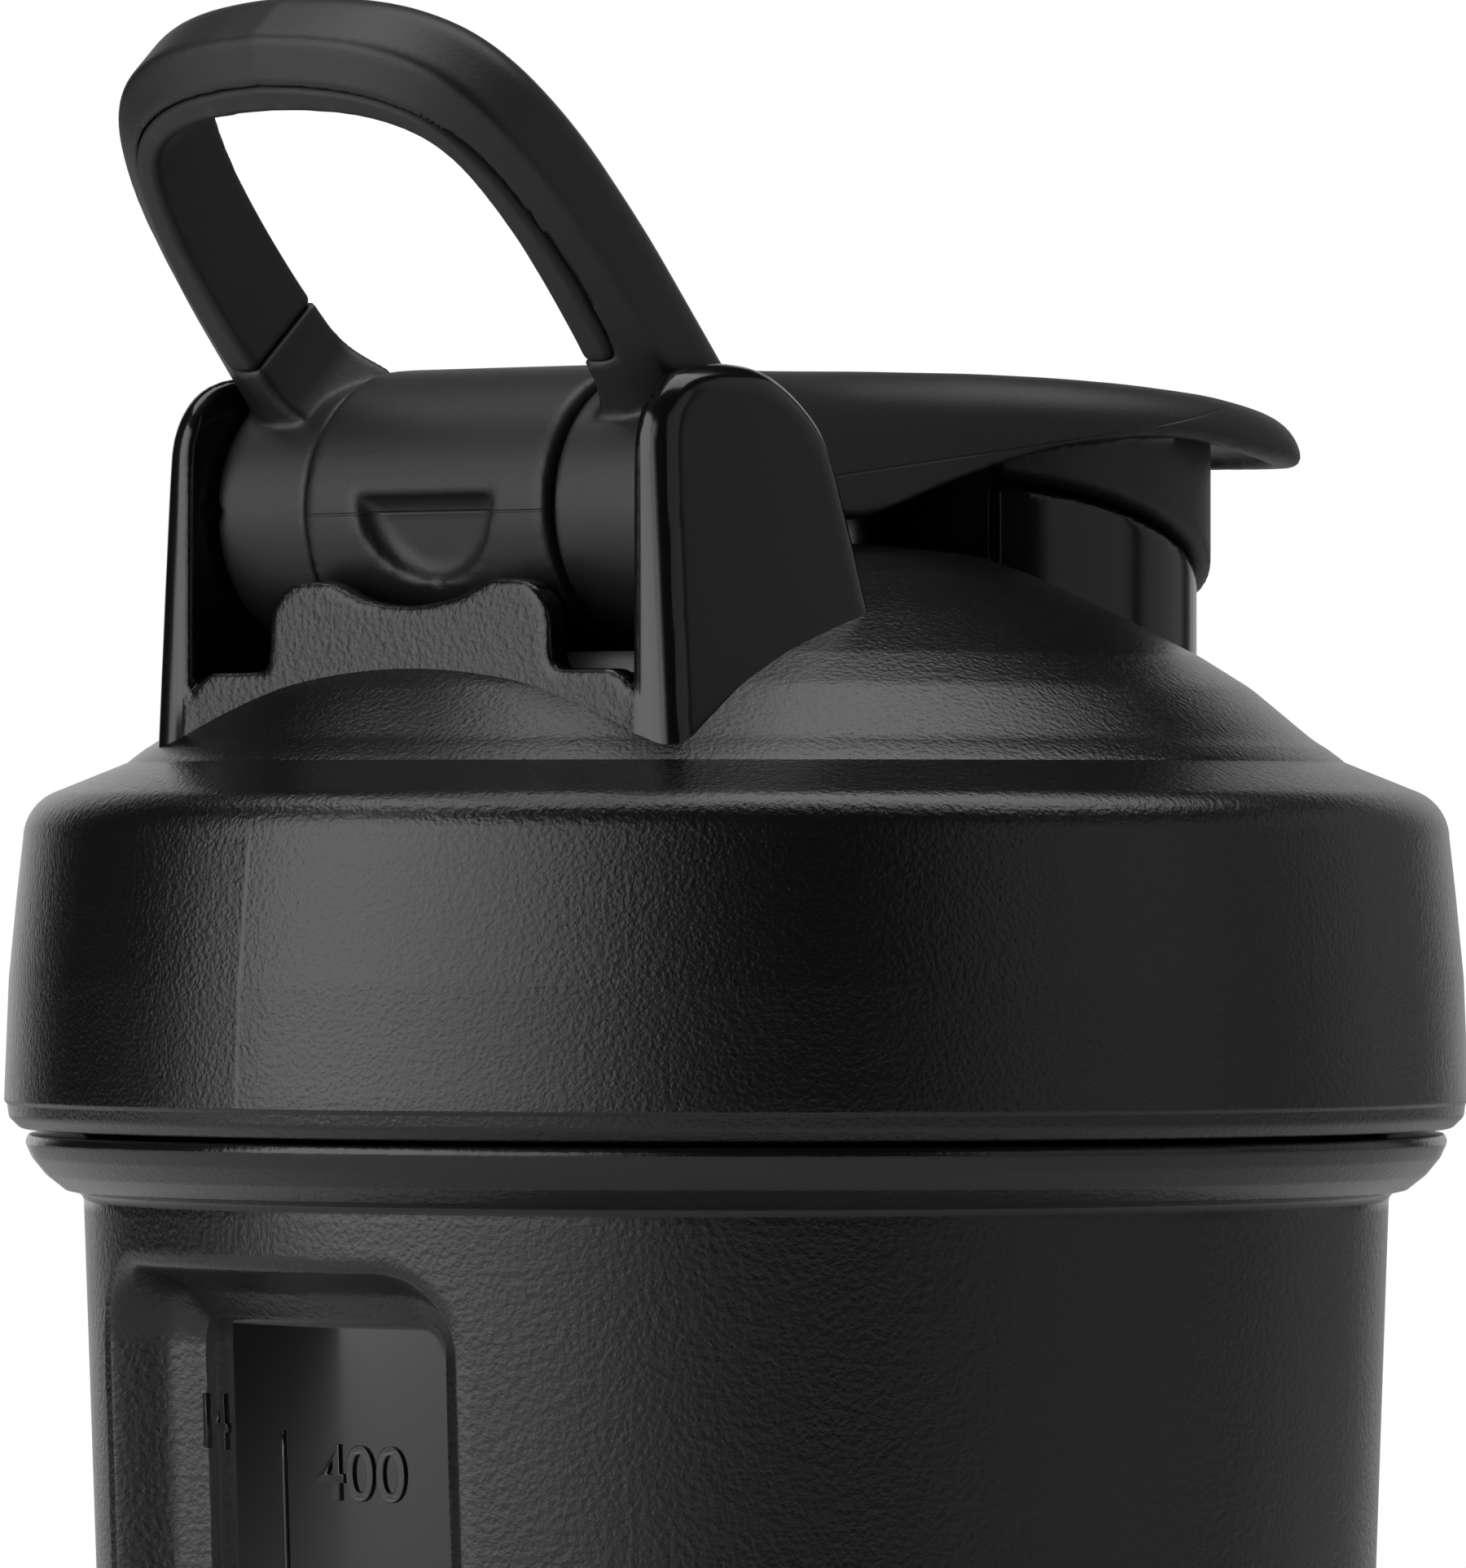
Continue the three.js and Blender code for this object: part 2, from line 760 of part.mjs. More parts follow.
// Soft liner of the loop's opening
function loopGrip() {
  const top = loopReach - barHeight;
  const outer = [...gripLine].reverse().map(([x, y]) => [x - 0.32, y - 0.24]);
  outer[0][1] = gripStart + touchGap;
  const inner = [...loopInner];
  inner[inner.length - 1] = [inner.at(-1)[0], gripStart + touchGap];
  const mirror = (points) => points.map(([x, y]) => [-x, y]).reverse();
  const outline = [
    ...outer,
    [0, top + gripThickness - touchGap],
    ...mirror(outer),
    ...mirror(inner),
    [0, top],
    ...inner,
  ];
  return loopPlate(outline, loopDepth + 0.6);
}

// Centre line of the whisk: a spiral over a ball, its poles tipped over
class BallSpiral extends THREE.Curve {
  getPoint(t, target = new THREE.Vector3()) {
    const polar = 0.3 + t * (Math.PI - 0.6);
    const turn = 2 * Math.PI * ballTurns * t;
    target.set(
      ballRadius * Math.sin(polar) * Math.cos(turn),
      ballRadius * Math.sin(polar) * Math.sin(turn),
      ballRadius * Math.cos(polar),
    );
    return target.applyAxisAngle(new THREE.Vector3(1, 0, 0), 0.45);
  }
}

function whiskBall() {
  const ring = [];
  for (let step = 0; step < 6; step += 1) {
    const angle = (Math.PI * step) / 3;
    ring.push([wireRadius * Math.cos(angle), wireRadius * Math.sin(angle)]);
  }
  const geometry = new THREE.ExtrudeGeometry(shapeOf(ring), {
    steps: 22 * ballTurns,
    bevelEnabled: false,
    extrudePath: new BallSpiral(),
  });
  geometry.translate(0, 0, floorTop + ballRadius + wireRadius + touchGap);
  return solid(geometry);
}

const shaker = new THREE.Group();
shaker.add(piece("jar", jar(), 0x1b1b1c, 0.5));
shaker.add(piece("lid", lid(), 0x19191a, 0.55));
shaker.add(piece("lid_seal", lidSeal(), 0x3a3a3c, 0.8));
shaker.add(piece("flip_cap", flipCap(), 0x1d1d1e, 0.6));
shaker.add(piece("cap_seal", capSeal(), 0x3a3a3c, 0.8));
shaker.add(piece("carry_loop", loopFrame(), 0x1a1a1b, 0.55));
shaker.add(piece("loop_grip", loopGrip(), 0x1e1e1f, 0.75));
shaker.add(piece("whisk_ball", whiskBall(), 0xc8cacc, 0.2, 1));

export default shaker;
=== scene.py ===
import json
import math
from functools import partial

import bmesh
import bpy
import numpy as np
from mathutils import Matrix, Vector
from mathutils.kdtree import KDTree


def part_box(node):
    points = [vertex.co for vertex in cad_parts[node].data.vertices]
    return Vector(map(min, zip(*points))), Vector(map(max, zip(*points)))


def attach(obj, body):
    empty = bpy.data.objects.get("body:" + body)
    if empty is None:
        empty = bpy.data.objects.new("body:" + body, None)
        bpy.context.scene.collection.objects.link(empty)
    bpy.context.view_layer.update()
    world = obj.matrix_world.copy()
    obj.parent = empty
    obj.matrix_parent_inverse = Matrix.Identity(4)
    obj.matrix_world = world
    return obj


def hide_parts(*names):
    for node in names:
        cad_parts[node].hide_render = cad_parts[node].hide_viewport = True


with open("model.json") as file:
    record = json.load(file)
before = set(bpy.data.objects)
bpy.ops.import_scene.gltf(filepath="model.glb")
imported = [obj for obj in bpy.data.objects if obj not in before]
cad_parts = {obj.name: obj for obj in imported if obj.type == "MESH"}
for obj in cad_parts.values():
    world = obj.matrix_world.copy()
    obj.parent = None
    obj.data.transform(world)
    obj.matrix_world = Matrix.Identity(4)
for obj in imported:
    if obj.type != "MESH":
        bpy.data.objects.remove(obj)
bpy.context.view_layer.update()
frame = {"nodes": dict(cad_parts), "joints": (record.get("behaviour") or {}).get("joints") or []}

print("frame loaded")

# Everything below is worked out in millimetres and scaled once, when a mesh is made
mm = 0.001
hinge = next(j for j in frame["joints"] if j["name"] == "cap_flip")["pos_m"]
hingeY, hingeZ = hinge[1] / mm, hinge[2] / mm
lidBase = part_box("lid")[0].z / mm
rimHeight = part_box("jar")[1].z / mm
spoutY = (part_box("cap_seal")[0].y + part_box("cap_seal")[1].y) / 2 / mm
shoulder = lidBase - 0.3
lidBore = 43.0  # inner radius of the lid's skirt
pinHole = 3.3  # radius of the holes that the loop's pins turn in


def added(name, data):  # a new object in the scene
    made = bpy.data.objects.new(name, data)
    bpy.context.scene.collection.objects.link(made)
    return made


def makeObject(name, points, faces):
    mesh = bpy.data.meshes.new(name)
    mesh.from_pydata((np.asarray(points, float) * mm).tolist(), [], faces)
    mesh.update()
    mesh.shade_smooth()
    return added(name, mesh)


def markSmooth(obj, values):  # how smooth each point is, from 0, grained, to 1, polished
    obj.data.attributes.new("smoothArea", "FLOAT", "POINT").data.foreach_set("value", values)


def settle(obj, material, body, slot, *nodes):  # last step of every piece
    obj.data.materials.clear()
    obj.data.materials.append(material)
    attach(obj, body)
    if nodes:
        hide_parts(*nodes)
    return obj


def baked(obj):  # modifiers or nodes turned into a plain mesh
    graph = bpy.context.evaluated_depsgraph_get()
    mesh = bpy.data.meshes.new_from_object(obj.evaluated_get(graph))
    old = obj.data
    obj.modifiers.clear()
    if obj.type == "MESH":
        obj.data = mesh
        bpy.data.meshes.remove(old)
        return obj
    made = added(obj.name + "_mesh", mesh)
    bpy.data.objects.remove(obj)
    return made


def rounded(corners, steps=5):  # (a, b, radius) corners of an open outline, with arcs at the corners
    points = [corners[0][:2]]
    for before, (a, b, radius), after in zip(corners, corners[1:], corners[2:]):
        here = Vector((a, b))
        back, on = Vector(before[:2]) - here, Vector(after[:2]) - here
        angle = back.angle(on)
        if radius <= 0 or angle > 3.1:
            points.append((a, b))
            continue
        reach = min(radius / math.tan(angle / 2), 0.48 * back.length, 0.48 * on.length)
        start, end = here + back.normalized() * reach, here + on.normalized() * reach
        for step in range(steps + 1):  # a parabola through both ends is close enough to the arc
            t = step / steps
            points.append(tuple(start * (1 - t) ** 2 + here * 2 * t * (1 - t) + end * t * t))
    return points + [corners[-1][:2]]


def refined(points, longest):  # no stretch of the outline longer than this
    made = [points[0]]
    for (a, b), (c, d) in zip(points, points[1:]):
        parts = max(1, math.ceil(math.hypot(c - a, d - b) / longest))
        made += [(a + (c - a) * k / parts, b + (d - b) * k / parts) for k in range(1, parts + 1)]
    return made


def lathe(name, profile, angles, push=None):  # push gives one ring's radii where it isn't round
    points, rings = [], []
    for k, (radius, height) in enumerate(profile):
        if radius < 1e-6:
            rings.append([len(points)])
            points.append((0, 0, height))
            continue
        radii = np.full(len(angles), radius) if push is None else push(k, radius, height, angles)
        rings.append(range(len(points), len(points) + len(angles)))
        points += list(zip(radii * np.cos(angles), radii * np.sin(angles), [height] * len(angles)))
    faces = []
    closed = len(rings[0]) > 1
    for lower, upper in zip(rings, rings[1:] + (rings[:1] if closed else [])):
        count = len(angles)
        for i in range(count):
            j = (i + 1) % count
            if len(lower) == 1 and len(upper) == 1:
                break
            if len(lower) == 1:
                faces.append((lower[0], upper[j], upper[i]))
            elif len(upper) == 1:
                faces.append((lower[i], lower[j], upper[0]))
            else:
                faces.append((lower[i], lower[j], upper[j], upper[i]))
    return makeObject(name, points, faces)


fullTurn = np.linspace(0, 2 * math.pi, 180, endpoint=False)


def distanceTo(outline, a, b):  # signed distance to a closed outline, negative inside
    a, b = np.broadcast_arrays(a, b)
    nearest = np.full(a.shape, 1e9)
    inside = np.zeros(a.shape, bool)
    for (pa, pb), (qa, qb) in zip(outline, outline[1:] + outline[:1]):
        ea, eb = qa - pa, qb - pb
        along = np.clip(((a - pa) * ea + (b - pb) * eb) / (ea * ea + eb * eb), 0, 1)
        nearest = np.minimum(nearest, (a - pa - ea * along) ** 2 + (b - pb - eb * along) ** 2)
        if pb != qb:
            crosses = ((pb > b) != (qb > b)) & (a < ea * (b - pb) / (qb - pb) + pa)
            inside ^= crosses
    return np.where(inside, -1, 1) * np.sqrt(nearest)


def meet(a, b, radius):  # intersection with a rounded edge
    corner = np.hypot(np.maximum(a + radius, 0), np.maximum(b + radius, 0))
    return np.minimum(np.maximum(a, b), -radius) + corner


def join(a, b, radius):  # union with a rounded inner corner
    return -meet(-a, -b, radius)


def cut(a, b, radius):  # a without b, with a rounded edge
    return meet(a, -b, radius)


def gridOver(low, high, step):
    axes = [np.arange(a, b + step, step) for a, b in zip(low, high)]
    return axes[0][:, None, None], axes[1][None, :, None], axes[2][None, None, :]


def sampled(field, spots):  # field value and slope at spots in grid units
    base = np.clip(np.floor(spots).astype(int), 0, np.array(field.shape) - 2)
    part = spots - base
    corner = {}
    for dx in (0, 1):
        for dy in (0, 1):
            for dz in (0, 1):
                corner[dx, dy, dz] = field[base[:, 0] + dx, base[:, 1] + dy, base[:, 2] + dz]
    value = np.zeros(len(spots))
    slope = np.zeros((len(spots), 3))
    for (dx, dy, dz), v in corner.items():
        wx = part[:, 0] if dx else 1 - part[:, 0]
        wy = part[:, 1] if dy else 1 - part[:, 1]
        wz = part[:, 2] if dz else 1 - part[:, 2]
        value += v * wx * wy * wz
        slope[:, 0] += v * (1 if dx else -1) * wy * wz
        slope[:, 1] += v * (1 if dy else -1) * wx * wz
        slope[:, 2] += v * (1 if dz else -1) * wx * wy
    return value, slope


def netOver(name, field, grid, step, place=None):  # surface net of a field, closed and facing outwards
    field = np.ascontiguousarray(np.broadcast_to(field, tuple(axis.size for axis in grid))).astype(float)
    for axis in range(3):  # nothing may touch the grid's border
        edge = [slice(None)] * 3
        for end in (0, -1):
            edge[axis] = end
            field[tuple(edge)] = np.maximum(field[tuple(edge)], 0.01)
    inside = field < 0
    cells = [n - 1 for n in field.shape]
    corners = [(dx, dy, dz) for dx in (0, 1) for dy in (0, 1) for dz in (0, 1)]
    total = sum(inside[dx:dx + cells[0], dy:dy + cells[1], dz:dz + cells[2]].astype(int)
                for dx, dy, dz in corners)
    active = (total > 0) & (total < 8)
    base = np.argwhere(active)
    number = np.full(cells, -1)
    number[active] = np.arange(len(base))
    summed = np.zeros((len(base), 3))
    hits = np.zeros(len(base))
    for axis in range(3):
        others = [k for k in range(3) if k != axis]
        for da in (0, 1):
            for db in (0, 1):
                start = base.copy()
                start[:, others[0]] += da
                start[:, others[1]] += db
                end = start.copy()
                end[:, axis] += 1
                va, vb = field[tuple(start.T)], field[tuple(end.T)]
                crosses = (va < 0) != (vb < 0)
                t = np.where(crosses, va / np.where(va == vb, 1, va - vb), 0)
                spot = start.astype(float)
                spot[:, axis] += t
                summed += spot * crosses[:, None]
                hits += crosses
    spots = summed / hits[:, None]
    for _ in range(3):  # onto the surface itself
        value, slope = sampled(field, spots)
        spots -= np.clip(value / np.maximum((slope ** 2).sum(1), 1e-9), -0.4, 0.4)[:, None] * slope
    faces = []
    for axis in range(3):
        b, c = [(1, 2), (2, 0), (0, 1)][axis]
        ahead = [slice(None)] * 3
        here = [slice(None)] * 3
        ahead[axis], here[axis] = slice(1, None), slice(None, -1)
        flips = inside[tuple(ahead)] != inside[tuple(here)]
        edges = np.argwhere(flips)
        edges = edges[(edges[:, b] > 0) & (edges[:, c] > 0)]
        outward = inside[tuple(edges.T)]
        ring = []
        for db, dc in ((1, 1), (0, 1), (0, 0), (1, 0)):
            cell = edges.copy()
            cell[:, b] -= db
            cell[:, c] -= dc
            ring.append(number[tuple(cell.T)])
        ring = np.stack(ring, 1)
        ring[~outward] = ring[~outward][:, ::-1]
        faces += ring.tolist()
    origin = np.array([axis.ravel()[0] for axis in grid])
    points = origin + spots * step
    if place is not None:
        points = place(points)
    return makeObject(name, points, faces)


def eased(points, rounds=2):  # corners cut at a quarter, ends kept
    for _ in range(rounds):
        made = [points[0]]
        for (a, b), (c, d) in zip(points, points[1:]):
            made += [(t * a + (1 - t) * c, t * b + (1 - t) * d) for t in (0.75, 0.25)]
        points = made + [points[-1]]
    return points


def mirrored(half):  # half of an outline made whole, its corners eased
    half = eased(half)
    return half + [(-a, b) for a, b in reversed(half)]


def mathNode(tree, kind, *inputs):  # inputs are numbers or other sockets
    node = tree.nodes.new("ShaderNodeMath")
    node.operation = kind
    for socket, value in zip(node.inputs, inputs):
        if isinstance(value, (int, float)):
            socket.default_value = value
        else:
            tree.links.new(value, socket)
    return node.outputs[0]


def plastic(name, look):
    material = bpy.data.materials.new(name)
    material.use_nodes = True
    tree = material.node_tree
    nodes, link = tree.nodes, tree.links.new
    shader = nodes["Principled BSDF"]
    shader.inputs["Metallic"].default_value = look.get("metal", 0)
    shader.inputs["IOR"].default_value = look.get("ior", 1.47)
    place = nodes.new("ShaderNodeTexCoord").outputs["Object"]

    def noise(size, detail=2, rough=0.5):
        node = nodes.new("ShaderNodeTexNoise")
        node.inputs["Scale"].default_value = 1 / size
        node.inputs["Detail"].default_value = detail
        node.inputs["Roughness"].default_value = rough
        link(place, node.inputs["Vector"])
        return node.outputs["Fac"]

    def remap(value, low, high, toLow, toHigh):
        node = nodes.new("ShaderNodeMapRange")
        for key, number in zip(("From Min", "From Max", "To Min", "To Max"), (low, high, toLow, toHigh)):
            node.inputs[key].default_value = number
        link(value, node.inputs["Value"])
        return node.outputs["Result"]

    sums = partial(mathNode, tree)

    # moulded grain: cells with soft shoulders over a finer noise
    cells = nodes.new("ShaderNodeTexVoronoi")
    cells.feature = "SMOOTH_F1"
    cells.inputs["Scale"].default_value = 1 / look["grain"]
    link(place, cells.inputs["Vector"])
    grain = sums("ADD", cells.outputs["Distance"], noise(look["grain"] * 0.55, 3, 0.6))
    smooth = None
    if look.get("masked"):  # the smooth areas are painted on the mesh
        mask = nodes.new("ShaderNodeAttribute")
        mask.attribute_name = "smoothArea"
        smooth = mask.outputs["Fac"]
        grain = sums("MULTIPLY", grain, sums("SUBTRACT", 1, smooth))
    bump = nodes.new("ShaderNodeBump")
    bump.inputs["Strength"].default_value = look.get("bump", 0.6)
    bump.inputs["Distance"].default_value = look["depth"]
    link(grain, bump.inputs["Height"])
    last = bump
    if look.get("seam"):  # parting line of the mould: height = a + b*y + c*y*y, in metres
        a, b, c = look["seam"]
        axes = nodes.new("ShaderNodeSeparateXYZ")
        link(place, axes.inputs[0])
        y = axes.outputs["Y"]
        curve = sums("ADD", sums("MULTIPLY", y, b), a)
        curve = sums("ADD", curve, sums("MULTIPLY", sums("MULTIPLY", y, y), c))
        off = sums("ABSOLUTE", sums("SUBTRACT", axes.outputs["Z"], curve))
        ridge = nodes.new("ShaderNodeBump")
        ridge.inputs["Strength"].default_value = 0.8
        ridge.inputs["Distance"].default_value = 0.00006
        ridge.invert = True
        link(remap(off, 0.00003, 0.00011, 1, 0), ridge.inputs["Height"])
        link(bump.outputs["Normal"], ridge.inputs["Normal"])
        last = ridge
    link(last.outputs["Normal"], shader.inputs["Normal"])

    # gloss varies a little over the surface, and is higher where hands rub the edges
    low, high = look["roughness"]
    cloudy = remap(noise(look.get("cloud", 0.02), 3), 0.3, 0.7, low, high)
    edge = remap(nodes.new("ShaderNodeNewGeometry").outputs["Pointiness"], 0.54, 0.64, 0, 1)
    worn = sums("MULTIPLY", edge, remap(noise(0.004, 4), 0.35, 0.6, 0, 1))
    gloss = sums("SUBTRACT", cloudy, sums("MULTIPLY", worn, look.get("wear", 0.05)))
    if smooth is not None:
        blend = nodes.new("ShaderNodeMix")
        link(smooth, blend.inputs[0])
        link(gloss, blend.inputs[2])
        blend.inputs[3].default_value = look["polished"]
        gloss = blend.outputs[0]
    link(gloss, shader.inputs["Roughness"])
    tint = nodes.new("ShaderNodeMix")
    tint.data_type = "RGBA"
    rubbed = look.get("wornColour", [1.5 * v for v in look["colour"]])
    tint.inputs[6].default_value = (*look["colour"], 1)
    tint.inputs[7].default_value = (*rubbed, 1)
    link(worn, tint.inputs[0])
    link(tint.outputs[2], shader.inputs["Base Color"])
    return material


# Colours are linear, sizes are in metres: grain is a cell's width and depth its height. Masked ones
# have smooth areas, which take the polished roughness
finishes = {
    "jarWall": {"colour": (0.0052, 0.0052, 0.0054), "roughness": (0.25, 0.29), "grain": 0.00042,
                "depth": 0.000063, "masked": True, "polished": 0.07},
    "lidShell": {"colour": (0.0042, 0.0042, 0.0044), "roughness": (0.2, 0.24), "grain": 0.00032,
                 "depth": 0.00005, "masked": True, "polished": 0.2},
    "lidGloss": {"colour": (0.004, 0.004, 0.0042), "roughness": (0.15, 0.2), "grain": 0.0006,
                 "depth": 0.000008, "bump": 0.25},
    "webGrain": {"colour": (0.004, 0.004, 0.0042), "roughness": (0.24, 0.29), "grain": 0.00042,
                 "depth": 0.00005, "masked": True, "polished": 0.17},
    "capSatin": {"colour": (0.006, 0.006, 0.0062), "roughness": (0.44, 0.5), "grain": 0.00022,
                 "depth": 0.000014, "bump": 0.5, "seam": (0.16067, 0.1288, 1.028)},
    "loopSatin": {"colour": (0.006, 0.006, 0.0062), "roughness": (0.42, 0.48), "grain": 0.00022,
                  "depth": 0.000012, "bump": 0.5},
    "gripSoft": {"colour": (0.012, 0.012, 0.0125), "roughness": (0.55, 0.62), "grain": 0.0002,
                 "depth": 0.000012},
    "sealSoft": {"colour": (0.05, 0.05, 0.052), "roughness": (0.55, 0.65), "grain": 0.0004,
                 "depth": 0.00001},
    "wireBright": {"colour": (0.62, 0.62, 0.63), "roughness": (0.14, 0.22), "grain": 0.0003,
                   "depth": 0.000004, "metal": 1, "wear": 0.03, "wornColour": (0.75, 0.75, 0.76)},
}
finish = {name: plastic(name, look) for name, look in finishes.items()}
print("finishes made")


# Jar: heights from the foot, radii from the axis, window angle from the x axis
jarShape = {
    "footRadius": 37.1, "wallTop": 41.05, "wallTopHeight": 115.4, "wall": 2.2, "floor": 4.2,
    "collar": 44.75, "neck": 40.8, "neckBore": 38.7, "sides": 110,
    "windowAngle": -98, "halfWidth": 16.75, "windowTop": shoulder - 7.8, "windowBottom": 17, "corner": 5.2,
    "roll": 0.16, "wallDepth": 3.7, "wallWidth": 1.5, "bevelDepth": 1.6, "bevelWidth": 1.8,
    "bulge": 5.3, "bulgeMargin": 1.8, "bulgeEase": 4,
}


def wallRadius(height):
    j = jarShape
    return j["footRadius"] + (j["wallTop"] - j["footRadius"]) * height / j["wallTopHeight"]


def windowInset(angles, height, grow=0):  # distance inwards from the recess's outer edge
    j = jarShape
    turn = (angles - math.radians(j["windowAngle"]) + math.pi) % (2 * math.pi) - math.pi
    faraway = 99
    across = np.where(np.abs(turn) < 1.2, np.abs(wallRadius(height) * np.sin(turn)), faraway)
    middle = (j["windowTop"] + j["windowBottom"]) / 2
    up = abs(height - middle)
    a = across - (j["halfWidth"] + grow - j["corner"])
    b = up - ((j["windowTop"] - j["windowBottom"]) / 2 + grow - j["corner"])
    outside = np.hypot(np.maximum(a, 0), np.maximum(b, 0)) + np.minimum(np.maximum(a, b), 0)
    return -(outside - j["corner"])


def softStep(value, low, high):
    t = np.clip((value - low) / (high - low), 0, 1)
    return t * t * (3 - 2 * t)


def recessDepth(inset):  # a rolled edge, a steep wall, then a bevel down to the window's floor
    j = jarShape
    wall = j["wallWidth"]
    depth = j["roll"] * softStep(inset, -0.9, 0.1)
    steep = 0.75 * np.clip(inset / wall, 0, 1) + 0.25 * softStep(inset, 0, wall)
    depth += (j["wallDepth"] - j["roll"]) * steep
    return depth + j["bevelDepth"] * np.clip((inset - wall) / j["bevelWidth"], 0, 1)


def buildJar():
    j = jarShape
    foot = [(0, 1.6, 0), (29, 1.6, 0.6), (30.6, 0, 0.6), (34.1, 0, 1), (36.2, 0.9, 1.2),
            (j["footRadius"], 3, 1.5)]
    # rings: close together at both ends of the window, wide apart between them
    top, step, rings = j["windowTop"], 0.22, 44
    fine = [top + 1.4 - step * k for k in range(rings)]
    low = [j["windowBottom"] - 1.4 + step * k for k in range(rings)]
    middle = np.arange(low[-1] + 1.6, fine[-1] - 1.2, 1.8).tolist()
    heights = sorted([4.5, 6.5, 9, 12, 14] + low + middle + fine + [top + 2.2])
    wall = [(wallRadius(h), h) for h in heights]
    wallTop, bore, thick = j["wallTopHeight"], j["neckBore"], j["wall"]
    collar = refined(rounded([
        (wallRadius(wallTop - 0.9), wallTop - 0.9, 0), (j["wallTop"], wallTop + 0.1, 0.7),
        (42.2, 115.75, 0.3), (43.4, 116.7, 1.2), (44.3, 117.8, 1.0), (j["collar"], 118.8, 0.6),
        (44.5, shoulder, 0.25), (j["neck"], shoulder, 0.4), (j["neck"], rimHeight - 0.8, 0),
        (j["neck"] - 0.5, rimHeight, 0.5), (bore + 0.3, rimHeight, 0.4), (bore, rimHeight - 0.8, 0),
    ], 4), 1.5)
    inner = [(bore, shoulder)] + [(wallRadius(h) - thick, h) for h in reversed(heights) if h > 11]
    inner += [(wallRadius(8) - thick - 0.3, 8), (wallRadius(6) - thick - 1.6, 5.6)]
    inner += [(31, j["floor"]), (0, j["floor"])]
    outer = refined(rounded(foot, 4), 3)
    profile = outer + wall + collar + inner
    innerFrom = len(outer) + len(wall) + len(collar)

    # columns: close together at both sides of the window
    centre = math.radians(j["windowAngle"])
    edge = math.asin(j["halfWidth"] / 39.5)
    border = np.concatenate([np.arange(edge - 0.2, edge - 0.02, 0.006),
                             np.arange(edge - 0.02, edge + 0.035, 0.0022), [edge + 0.04, edge + 0.05]])
    plain = np.linspace(edge + 0.07, 2 * math.pi - edge - 0.07, j["sides"])
    inside = np.linspace(-edge + 0.22, edge - 0.22, 34)
    angles = centre + np.sort(np.concatenate([inside, border, -border, plain]))
    insets = {}

    def push(k, radius, height, turn):
        if k >= innerFrom and 8 < height < shoulder - 2:  # the inner wall bulges in behind the window
            inset = windowInset(turn, height, j["bulgeMargin"])
            return radius - j["bulge"] * softStep(inset, 0, j["bulgeEase"])
        if len(outer) <= k < len(outer) + len(wall):
            inset = windowInset(turn, height)
            insets[k] = inset
            return radius - recessDepth(inset)
        return np.full(len(turn), radius)

    jar = lathe("jar_body", profile, angles, push)
    count = len(angles)
    smooth = np.zeros(len(jar.data.vertices), np.float32)
    start = 1  # the first ring is a pole
    begin = j["wallWidth"] + j["bevelWidth"]
    for k, (radius, height) in enumerate(profile):
        if radius < 1e-6:
            continue
        if k in insets:
            area = np.clip((insets[k] - begin + 0.1) / 0.2, 0, 1)
        elif k < innerFrom and height > 115:  # collar and neck, half smooth
            area = np.full(count, 0.55)
        else:
            area = np.zeros(count)
        smooth[start:start + count] = area
        start += count
    markSmooth(jar, smooth)
    return jar


jar = settle(buildJar(), finish["jarWall"], "jar", "jar_plastic", "jar")
print("jar made:", len(jar.data.vertices))


# Volume figures and scale line, raised on the window's smooth floor
figureShape = {
    "size": 4.8, "spacing": 1.02, "rise": 0.15, "edge": 0.07,
    "large": {"angle": -89.6, "top": 98.8, "step": 20.6, "from": 400, "by": 100, "count": 4},
    "small": {"angle": -115.4, "top": 101.5, "step": 12.2, "from": 14, "by": 2, "count": 7},
    "line": {"angle": -101, "low": 22, "high": 101.4, "width": 0.42},
}


def onWindow(obj, angle, height):  # bends a flat mesh in X and Y round the jar's window floor
    for vertex in obj.data.vertices:
        x, y, z = [v / mm for v in vertex.co]
        level = height + y
        radius = wallRadius(level) - jarShape["wallDepth"] - jarShape["bevelDepth"]
        turn = math.radians(angle) + x / radius
        out = radius + z
        vertex.co = Vector((out * math.cos(turn), out * math.sin(turn), level)) * mm
    obj.data.update()
    return obj


def figures(text, angle, height):
    curve = bpy.data.curves.new("figures_" + text, "FONT")
    curve.body = text
    curve.size = figureShape["size"] * mm
    curve.align_x, curve.align_y = "CENTER", "CENTER"
    curve.space_character = figureShape["spacing"]
    curve.extrude = figureShape["rise"] * mm
    curve.bevel_depth = figureShape["edge"] * mm
    curve.bevel_resolution = 2
    curve.resolution_u = 6
    made = baked(added("figures_" + text, curve))
    made.name = "figures_" + text
    bpy.data.curves.remove(curve)
    return onWindow(made, angle, height)


def scaleLine(name, angle, low, high, width):
    levels = np.linspace(low, high, 50)
    half = width / 2
    section = [(-half, -0.1), (-half, 0.08), (-half * 0.5, 0.2),
               (half * 0.5, 0.2), (half, 0.08), (half, -0.1)]
    points = [(x, level, z) for level in levels for x, z in section]
    faces = []
    for k in range(len(levels) - 1):
        for i in range(6):
            n = (i + 1) % 6
            faces.append((k * 6 + i, k * 6 + n, (k + 1) * 6 + n, (k + 1) * 6 + i))
    faces += [tuple(range(5, -1, -1)), tuple(range(len(points) - 6, len(points)))]
    made = makeObject(name, points, faces)
    return onWindow(made, angle, 0)


marks = []
for column in (figureShape["large"], figureShape["small"]):
    for k in range(column["count"]):
        text = str(column["from"] - column["by"] * k)
        marks.append(figures(text, column["angle"], column["top"] - column["step"] * k))
marks.append(scaleLine("scale_line", **figureShape["line"]))
for mark in marks:
    settle(mark, finish["lidGloss"], "jar", "jar_plastic")
print("figures made")


